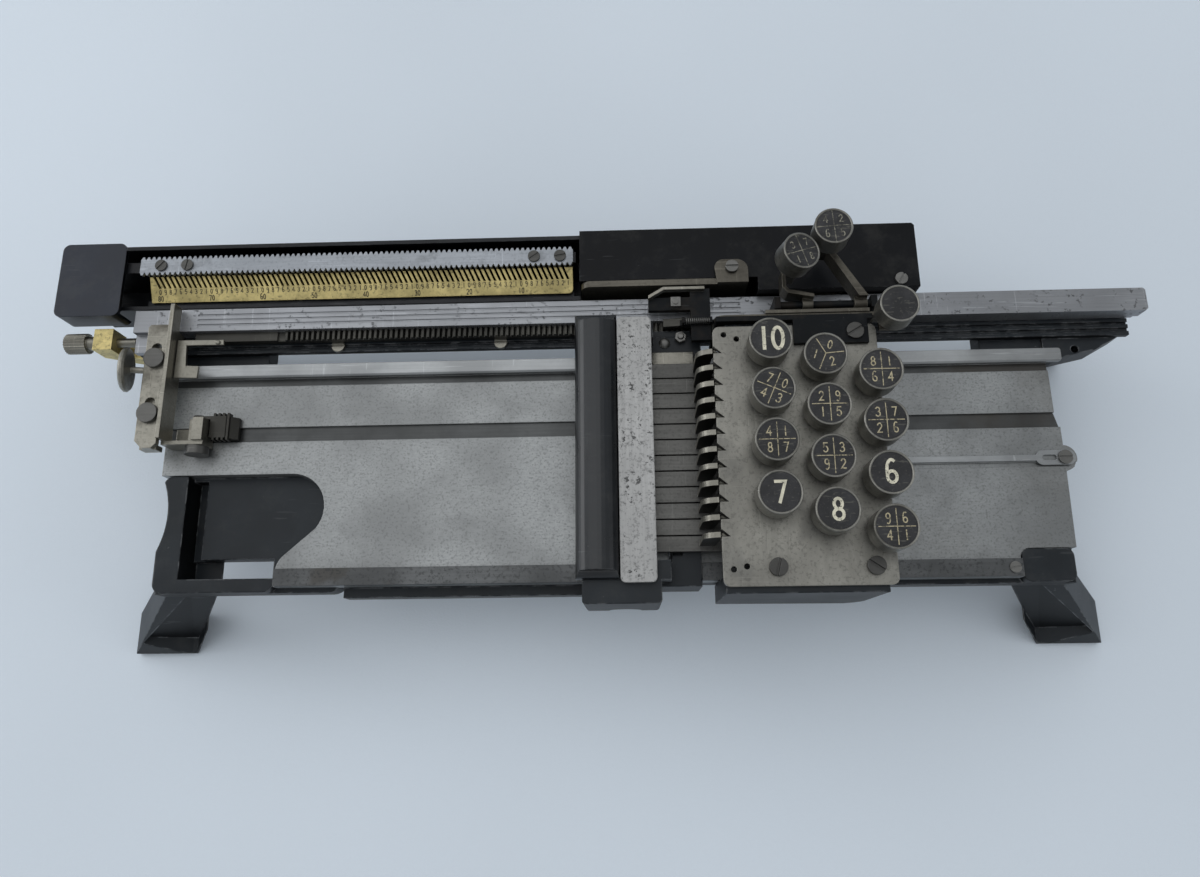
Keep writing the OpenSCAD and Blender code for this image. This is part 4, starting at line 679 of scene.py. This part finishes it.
# Rows of numbers on it: distance up the slope, height of a digit and width of its line
UNITS_ROW = (4.5, 1.9, 0.3)
TENS_ROW = (1.7, 2.1, 0.34)
# Bottom and top of an engraved line, from the scale's face
ENGRAVED = (-0.05, 0.035)

# Small bracket beside the arm, and its screw
BRACKET_OUTLINE = [(-203.9, -4.6), (-194.4, -4.9), (-194.2, 0.2), (-199.6, 0.5), (-200.2, 9.4), (-184.6, 9.4),
                   (-184.8, 11.5), (-203.9, 11.7)]
BRACKET_LOW = 70.2
BRACKET_HIGH = 71.5
BRACKET_SCREW = (-187.0, 10.4)
BRACKET_SCREW_HEAD = [(1.0, 0), (1.0, 0.5), (0.8, 0.8), (0.4, 0.95)]

# Small spring beside the dog: the middle of its left end, and how many points go round each turn
SPRING_START = (5, 12.9, 76.9)
SPRING_LENGTH = 10.8
SPRING_RADIUS = 1.1
SPRING_TURNS = 13
SPRING_STEPS = 20

# Nut, stud and screw on the deck behind the keyboard, and the short plate in front of it
DECK_HEIGHT = 68.7
NUT_SPOT = (3.9, 8.6)
NUT_TURN = 0.3
NUT_HEIGHT = 2.6
NUT_CHAMFER = 0.25
FLATS_TO_CORNER = 1.732
STUD_END = [(1.25, 2.5), (1.25, 3.3), (1.0, 3.6)]
DECK_SCREW = (-2.6, 6.6)
DECK_SCREW_HEAD = [(2.3, 0), (2.3, 0.6), (1.7, 1.3), (0.9, 1.6)]
END_PLATE = ((-8.2, -3.0, 68.75), (8.9, 2.4, 70.1))
END_PLATE_EDGE = 0.0003

# Fins of the flat bars: height of their foot, and half the width of their edge and of their sides
FIN_FOOT = 72.01
FIN_EDGE = 0.4
FIN_SIDE = 1.05


def in_groove(x, y, z):
    """Faces of the bed's two long grooves."""
    return 60 < z < 61.4 and (-30.1 < y < -23.7 or -6.1 < y < -2.8)


def on_comb_or_plate(x, y, z):
    """Screws of the comb, and those of the keyboard plate."""
    return 40 < y < 50 and x < -30 or z > 90


def on_track(x, y, z):
    """Screws of the rear track, left of the punches."""
    return 8 < y < 15 and x < -50


def on_deck_plate(x, y, z):
    """Small plate on the deck behind the keyboard."""
    return z > 75.45 and y > 22.5 and x < 14


def on_deck_nut(x, y, z):
    """Nut in front of that plate."""
    return 75.45 < z < 78 and y < 23.3 and 0 <= x <= 4


# ---- Operators, one for each piece or group of like pieces ----

class CardPunchOperator:
    bl_options = {"REGISTER", "UNDO"}


class CARDPUNCH_OT_castings(CardPunchOperator, bpy.types.Operator):
    """Black enamel on the castings, the front beam and the long track"""
    bl_idname = "card_punch.castings"
    bl_label = "Castings"

    def execute(self, context):
        set_finish("casting_enamel", "left_end_casting", "right_end_casting", "front_beam", "rear_track",
                   "keyboard_base", "punch_frame")
        return {"FINISHED"}


class CARDPUNCH_OT_housing(CardPunchOperator, bpy.types.Operator):
    """Paint on the rear channel, its cover box and its end cap"""
    bl_idname = "card_punch.housing"
    bl_label = "Rear housing"

    def execute(self, context):
        set_finish("sheet_paint", "rear_channel")
        set_finish("cover_sheet", "channel_cover")
        set_finish("cap_paint", "channel_end_cap")
        return {"FINISHED"}


class CARDPUNCH_OT_comb_and_scale(CardPunchOperator, bpy.types.Operator):
    """Bright comb, and the brass scale with a number at every column"""
    bl_idname = "card_punch.comb_and_scale"
    bl_label = "Comb and scale"

    def execute(self, context):
        set_finish("comb_steel", "stop_rack")
        set_finish("aged_brass", "column_scale")
        slope = Matrix.Rotation(SCALE_TILT, 4, "X") @ Matrix.Translation((0, 0, SCALE_THICKNESS))
        place = upright(0, *SCALE_FOOT) @ slope
        made = bmesh.new()
        for k in range(COLUMNS):
            x = SCALE_RIGHT - SCALE_MARGIN - COLUMN_PITCH * k
            rows = [(str((k + 1) % 10), *UNITS_ROW)]
            if (k + 1) % 10 == 0:
                rows.append((str(k + 1), *TENS_ROW))
            for digits, up, height, thick in rows:
                write_number(made, digits, (x, up), height, 0.8, thick, *ENGRAVED, place)
        add_piece("scale_numbers", made, FRAME_BODY, "engraving", 40)
        return {"FINISHED"}


class CARDPUNCH_OT_bed(CardPunchOperator, bpy.types.Operator):
    """Ground steel on the bed, its guides and the slotted strip"""
    bl_idname = "card_punch.bed"
    bl_label = "Bed and guides"

    def execute(self, context):
        set_finish("bed_steel", "bed_plate")
        # The grooves get the darkened steel: dirt and painted shade.
        set_part_finish("groove_steel", "bed_plate", in_groove)
        set_finish("guide_steel", "rear_card_guide", "card_strip")
        set_finish("rail_steel", "front_card_guide")
        return {"FINISHED"}


class CARDPUNCH_OT_punch_head(CardPunchOperator, bpy.types.Operator):
    """Half-round cover, pitted plate and the punches"""
    bl_idname = "card_punch.punch_head"
    bl_label = "Punch head"

    def execute(self, context):
        set_finish("cover_paint", "punch_cover")
        set_finish("pitted_steel", "cover_plate")
        set_finish("oiled_steel", "punches")
        return {"FINISHED"}


class CARDPUNCH_OT_carriage(CardPunchOperator, bpy.types.Operator):
    """Carriage bar, rack, arm, blade, gripper and their screws, with the small bracket beside the arm"""
    bl_idname = "card_punch.carriage"
    bl_label = "Carriage"

    def execute(self, context):
        set_finish("bar_steel", "carriage_bar")
        set_finish("oiled_steel", "escapement_rack", "gripper_jaw")
        set_finish("arm_nickel", "pusher_arm", "thumb_disc")
        set_finish("nickel", "card_blade")
        set_finish("oiled_screw", "carriage_screws")
        made = bmesh.new()
        prism(made, BRACKET_OUTLINE, BRACKET_LOW, BRACKET_HIGH, upright(0, 0, 0))
        add_piece("arm_bracket", made, "carriage", "nickel")
        made = bmesh.new()
        lathe(made, BRACKET_SCREW_HEAD, upright(*BRACKET_SCREW, BRACKET_HIGH), 28)
        add_piece("bracket_screw", made, "carriage", "nickel")
        return {"FINISHED"}


class CARDPUNCH_OT_end_stop(CardPunchOperator, bpy.types.Operator):
    """Brass block and nickel stop screw"""
    bl_idname = "card_punch.end_stop"
    bl_label = "End stop"

    def execute(self, context):
        set_finish("aged_brass", "end_stop_block")
        set_finish("nickel", "end_stop_screw")
        return {"FINISHED"}


class CARDPUNCH_OT_screws(CardPunchOperator, bpy.types.Operator):
    """Worn plated steel on the slotted screws"""
    bl_idname = "card_punch.screws"
    bl_label = "Screws"

    def execute(self, context):
        set_finish("screw_steel", "screws")
        set_part_finish("comb_screw", "screws", on_comb_or_plate)
        set_part_finish("nickel", "screws", on_track)
        return {"FINISHED"}


class CARDPUNCH_OT_mechanism(CardPunchOperator, bpy.types.Operator):
    """Bracket, dog and drum behind the keyboard, with nuts, a post and the small spring"""
    bl_idname = "card_punch.mechanism"
    bl_label = "Mechanism"

    def execute(self, context):
        set_finish("mechanism_enamel", "mechanism_bracket")
        set_part_finish("nickel", "mechanism_bracket", on_deck_plate)
        set_part_finish("screw_steel", "mechanism_bracket", on_deck_nut)
        set_finish("oiled_steel", "escapement_dog")
        set_finish("browned_steel", "spring_drum")
        made = bmesh.new()
        x, y, z = SPRING_START
        steps = SPRING_TURNS * SPRING_STEPS
        points = []
        for i in range(steps + 1):
            t = i / steps
            angle = 2 * math.pi * SPRING_TURNS * t
            points.append(at(x + SPRING_LENGTH * t, y + SPRING_RADIUS * math.cos(angle),
                             z + SPRING_RADIUS * math.sin(angle)))
        wire(made, points, size_settings().wire / 2)
        add_piece("dog_spring", made, FRAME_BODY, "screw_steel", 60)
        made = bmesh.new()
        corner = size_settings().nut / MM / FLATS_TO_CORNER
        outline = [(corner * math.cos(a), corner * math.sin(a)) for a in turn_angles(6, NUT_TURN)]
        place = upright(*NUT_SPOT, DECK_HEIGHT)
        prism(made, outline, 0, NUT_HEIGHT, place, NUT_CHAMFER)
        lathe(made, STUD_END, place, 20)
        lathe(made, DECK_SCREW_HEAD, upright(*DECK_SCREW, DECK_HEIGHT), 28)
        add_piece("deck_nuts", made, FRAME_BODY, "screw_steel")
        made = bmesh.new()
        rounded_box(made, at(*END_PLATE[0]), at(*END_PLATE[1]), END_PLATE_EDGE)
        add_piece("end_plate", made, FRAME_BODY, "nickel")
        return {"FINISHED"}


class CARDPUNCH_OT_levers(CardPunchOperator, bpy.types.Operator):
    """Browned levers and the three caps behind the keyboard"""
    bl_idname = "card_punch.levers"
    bl_label = "Levers"

    def execute(self, context):
        set_finish("browned_steel", "space_lever", "release_lever", "back_lever", "skip_lever")
        lean = RELEASE_TILT
        caps = {
            "release": (45.9, 28.3, lean, "release_key", draw_quarters("3718", 0.35, 2.6, 0.34)),
            "back": (60.6, 38.0, 0.0, "back_key", draw_quarters("4265", 0.06, 2.8, 0.36)),
            "space": (82.1, 6.0, 0.0, "space_key", None),
        }
        for name, (x, y, tilt, body, draw) in caps.items():
            lever = name + "_lever"
            foot = Vector((x, y, REAR_KEY_LOW))
            way = Vector((math.sin(tilt), 0, math.cos(tilt)))

            def on_cap(px, py, pz, foot=foot, way=way):
                out = Vector((px, py, pz)) - foot
                up = out.dot(way)
                return up > -0.05 and (out - up * way).length < REAR_KEY_RADIUS + 0.3

            set_part_finish("key_nickel", lever, on_cap)
            top = Matrix.Translation(at(*foot)) @ Matrix.Rotation(tilt, 4, "Y") @ Matrix.Translation(
                (0, 0, KEY_HEIGHT * MM)) @ Matrix.Scale(MM, 4)
            key_top_pieces(name + "_cap", top, REAR_KEY_RADIUS, body, draw, "faint_legend")
        return {"FINISHED"}


class CARDPUNCH_OT_keyboard(CardPunchOperator, bpy.types.Operator):
    """Speckled keyboard plate and the flat bars with their fins"""
    bl_idname = "card_punch.keyboard"
    bl_label = "Keyboard plate and bars"

    def execute(self, context):
        set_finish("plate_steel", "keyboard_plate")
        for k in range(ROWS):
            node = f"interposer_{k}"
            set_finish("interposer_steel", node)
            row = -ROW_PITCH * (k + 1)
            # Fin sides get the near-black finish, partly painted shade; their top edges get worn nickel.
            set_part_finish("fin_steel", node, lambda x, y, z, row=row: (
                z > FIN_FOOT and FIN_EDGE < abs(y - row) < FIN_SIDE))
            set_part_finish("fin_edge", node, lambda x, y, z, row=row: z > FIN_FOOT and abs(y - row) < FIN_EDGE)
        return {"FINISHED"}


class CARDPUNCH_OT_keys(CardPunchOperator, bpy.types.Operator):
    """Nickel cups, black inserts and cream numbers of the twelve keys"""
    bl_idname = "card_punch.keys"
    bl_label = "Keys"

    def execute(self, context):
        large = {0: draw_large("10", 8.2, 1.3), 8: draw_large("6", 7.4, 1.1), 9: draw_large("7", 7.4, 1.1),
                 10: draw_large("8", 7.4, 1.1)}
        drawings = {**large, 1: draw_thirds, 3: draw_quarters("7043", -0.42)}
        for k in range(ROWS):
            set_finish("key_nickel", f"key_{k}")
            x, y = key_place(k)
            draw = drawings.get(k) or draw_quarters(QUARTERS[k])
            legend = "legend_paint" if k in large else "quarter_legend"
            key_top_pieces(f"key_{k}", upright(x, y, KEY_TOP), KEY_RADIUS, f"key_{k}_body", draw, legend)
        return {"FINISHED"}


FLOOR_REACH = 4.0
FLOOR_CELLS = 24
SKY_TINT = (0.93, 0.97, 1.0, 1)
# Name, place, aim, width, share of the softbox power and tint of each lamp
LAMPS = (
    ("top_softbox", (-0.45, 0.6, 1.9), (0, 0, 0), 2.2, 1.0, (0.99, 0.995, 1.0)),
    ("left_softbox", (-1.5, 0.35, 0.55), (0, 0, 0.05), 0.9, 0.5, (0.97, 0.985, 1.0)),
    ("right_softbox", (1.5, -0.3, 0.8), (0, 0, 0.05), 0.8, 0.15, (1.0, 1.0, 1.0)))
# The camera's place in metres and its turns in degrees, fitted to the photograph
CAMERA_SPOT = (0.0130995, -0.097585, 0.411387)
CAMERA_TURN = (15.158, 1.968, -0.576)
SENSOR_WIDTH = 36.0


class CARDPUNCH_OT_stage(CardPunchOperator, bpy.types.Operator):
    """Pale floor, soft lamps and the camera at the photograph's angle"""
    bl_idname = "card_punch.stage"
    bl_label = "Stage"

    def execute(self, context):
        scene = context.scene
        stage = scene.card_punch_stage
        made = bmesh.new()
        bmesh.ops.create_grid(made, x_segments=FLOOR_CELLS, y_segments=FLOOR_CELLS, size=FLOOR_REACH)
        mesh = bpy.data.meshes.new("floor")
        made.to_mesh(mesh)
        made.free()
        floor = bpy.data.objects.new("floor", mesh)
        scene.collection.objects.link(floor)
        p = Paint("pale_floor")
        weave = p.noise(900, 2)
        tone = p.mix(p.step(p.noise(3, 2), 0.3, 0.7), shade(stage.floor, 0.97), shade(stage.floor, 1.03))
        mesh.materials.append(p.surface(tone, 0.85, 0.0, weave, 0.0001, Specular_IOR_Level=0.2))
        world = bpy.data.worlds.new("studio")
        scene.world = world
        world.use_nodes = True
        sky = world.node_tree.nodes["Background"]
        sky.inputs["Color"].default_value = SKY_TINT
        sky.inputs["Strength"].default_value = stage.sky
        for name, spot, aim, size, share, tint in LAMPS:
            lamp = bpy.data.lights.new(name, "AREA")
            lamp.shape = "SQUARE"
            lamp.size = size
            lamp.energy = stage.softbox * share
            lamp.color = tint
            holder = bpy.data.objects.new(name, lamp)
            holder.location = spot
            holder.rotation_euler = (Vector(aim) - Vector(spot)).to_track_quat("-Z", "Y").to_euler()
            scene.collection.objects.link(holder)
        camera = bpy.data.cameras.new("camera")
        camera.lens = stage.lens
        camera.sensor_width = SENSOR_WIDTH
        camera.sensor_fit = "HORIZONTAL"
        camera.clip_start, camera.clip_end = 0.01, 20.0
        holder = bpy.data.objects.new("camera", camera)
        holder.location = CAMERA_SPOT
        holder.rotation_euler = [math.radians(a) for a in CAMERA_TURN]
        scene.collection.objects.link(holder)
        scene.camera = holder
        scene.view_settings.view_transform = "Standard"
        return {"FINISHED"}


OPERATORS = (
    CARDPUNCH_OT_castings, CARDPUNCH_OT_housing, CARDPUNCH_OT_comb_and_scale, CARDPUNCH_OT_bed,
    CARDPUNCH_OT_punch_head, CARDPUNCH_OT_carriage, CARDPUNCH_OT_end_stop, CARDPUNCH_OT_screws,
    CARDPUNCH_OT_mechanism, CARDPUNCH_OT_levers, CARDPUNCH_OT_keyboard, CARDPUNCH_OT_keys, CARDPUNCH_OT_stage)


class CARDPUNCH_PT_looks(bpy.types.Panel):
    """Lists the steps that dress the card punch"""
    bl_idname = "CARDPUNCH_PT_looks"
    bl_label = "Card Punch"
    bl_space_type = "VIEW_3D"
    bl_region_type = "UI"
    bl_category = "Card Punch"

    def draw(self, context):
        column = self.layout.column(align=True)
        for operator in OPERATORS:
            column.operator(operator.bl_idname)
        for group in SETTINGS:
            settings = getattr(context.scene, group)
            box = self.layout.box()
            for key in settings.bl_rna.properties.keys():
                if key not in {"rna_type", "name"}:
                    box.prop(settings, key)


SETTINGS = {
    "card_punch_finish": CardPunchFinish,
    "card_punch_sizes": CardPunchSizes,
    "card_punch_stage": CardPunchStage,
}
CLASSES = (*SETTINGS.values(), *OPERATORS, CARDPUNCH_PT_looks)


def register():
    for made in CLASSES:
        bpy.utils.register_class(made)
    for name, group in SETTINGS.items():
        setattr(bpy.types.Scene, name, bpy.props.PointerProperty(type=group))


def unregister():
    for name in SETTINGS:
        delattr(bpy.types.Scene, name)
    for made in reversed(CLASSES):
        bpy.utils.unregister_class(made)


def main():
    register()
    for operator in OPERATORS:
        group, name = operator.bl_idname.split(".")
        getattr(getattr(bpy.ops, group), name)()


if __name__ == "__main__":
    main()
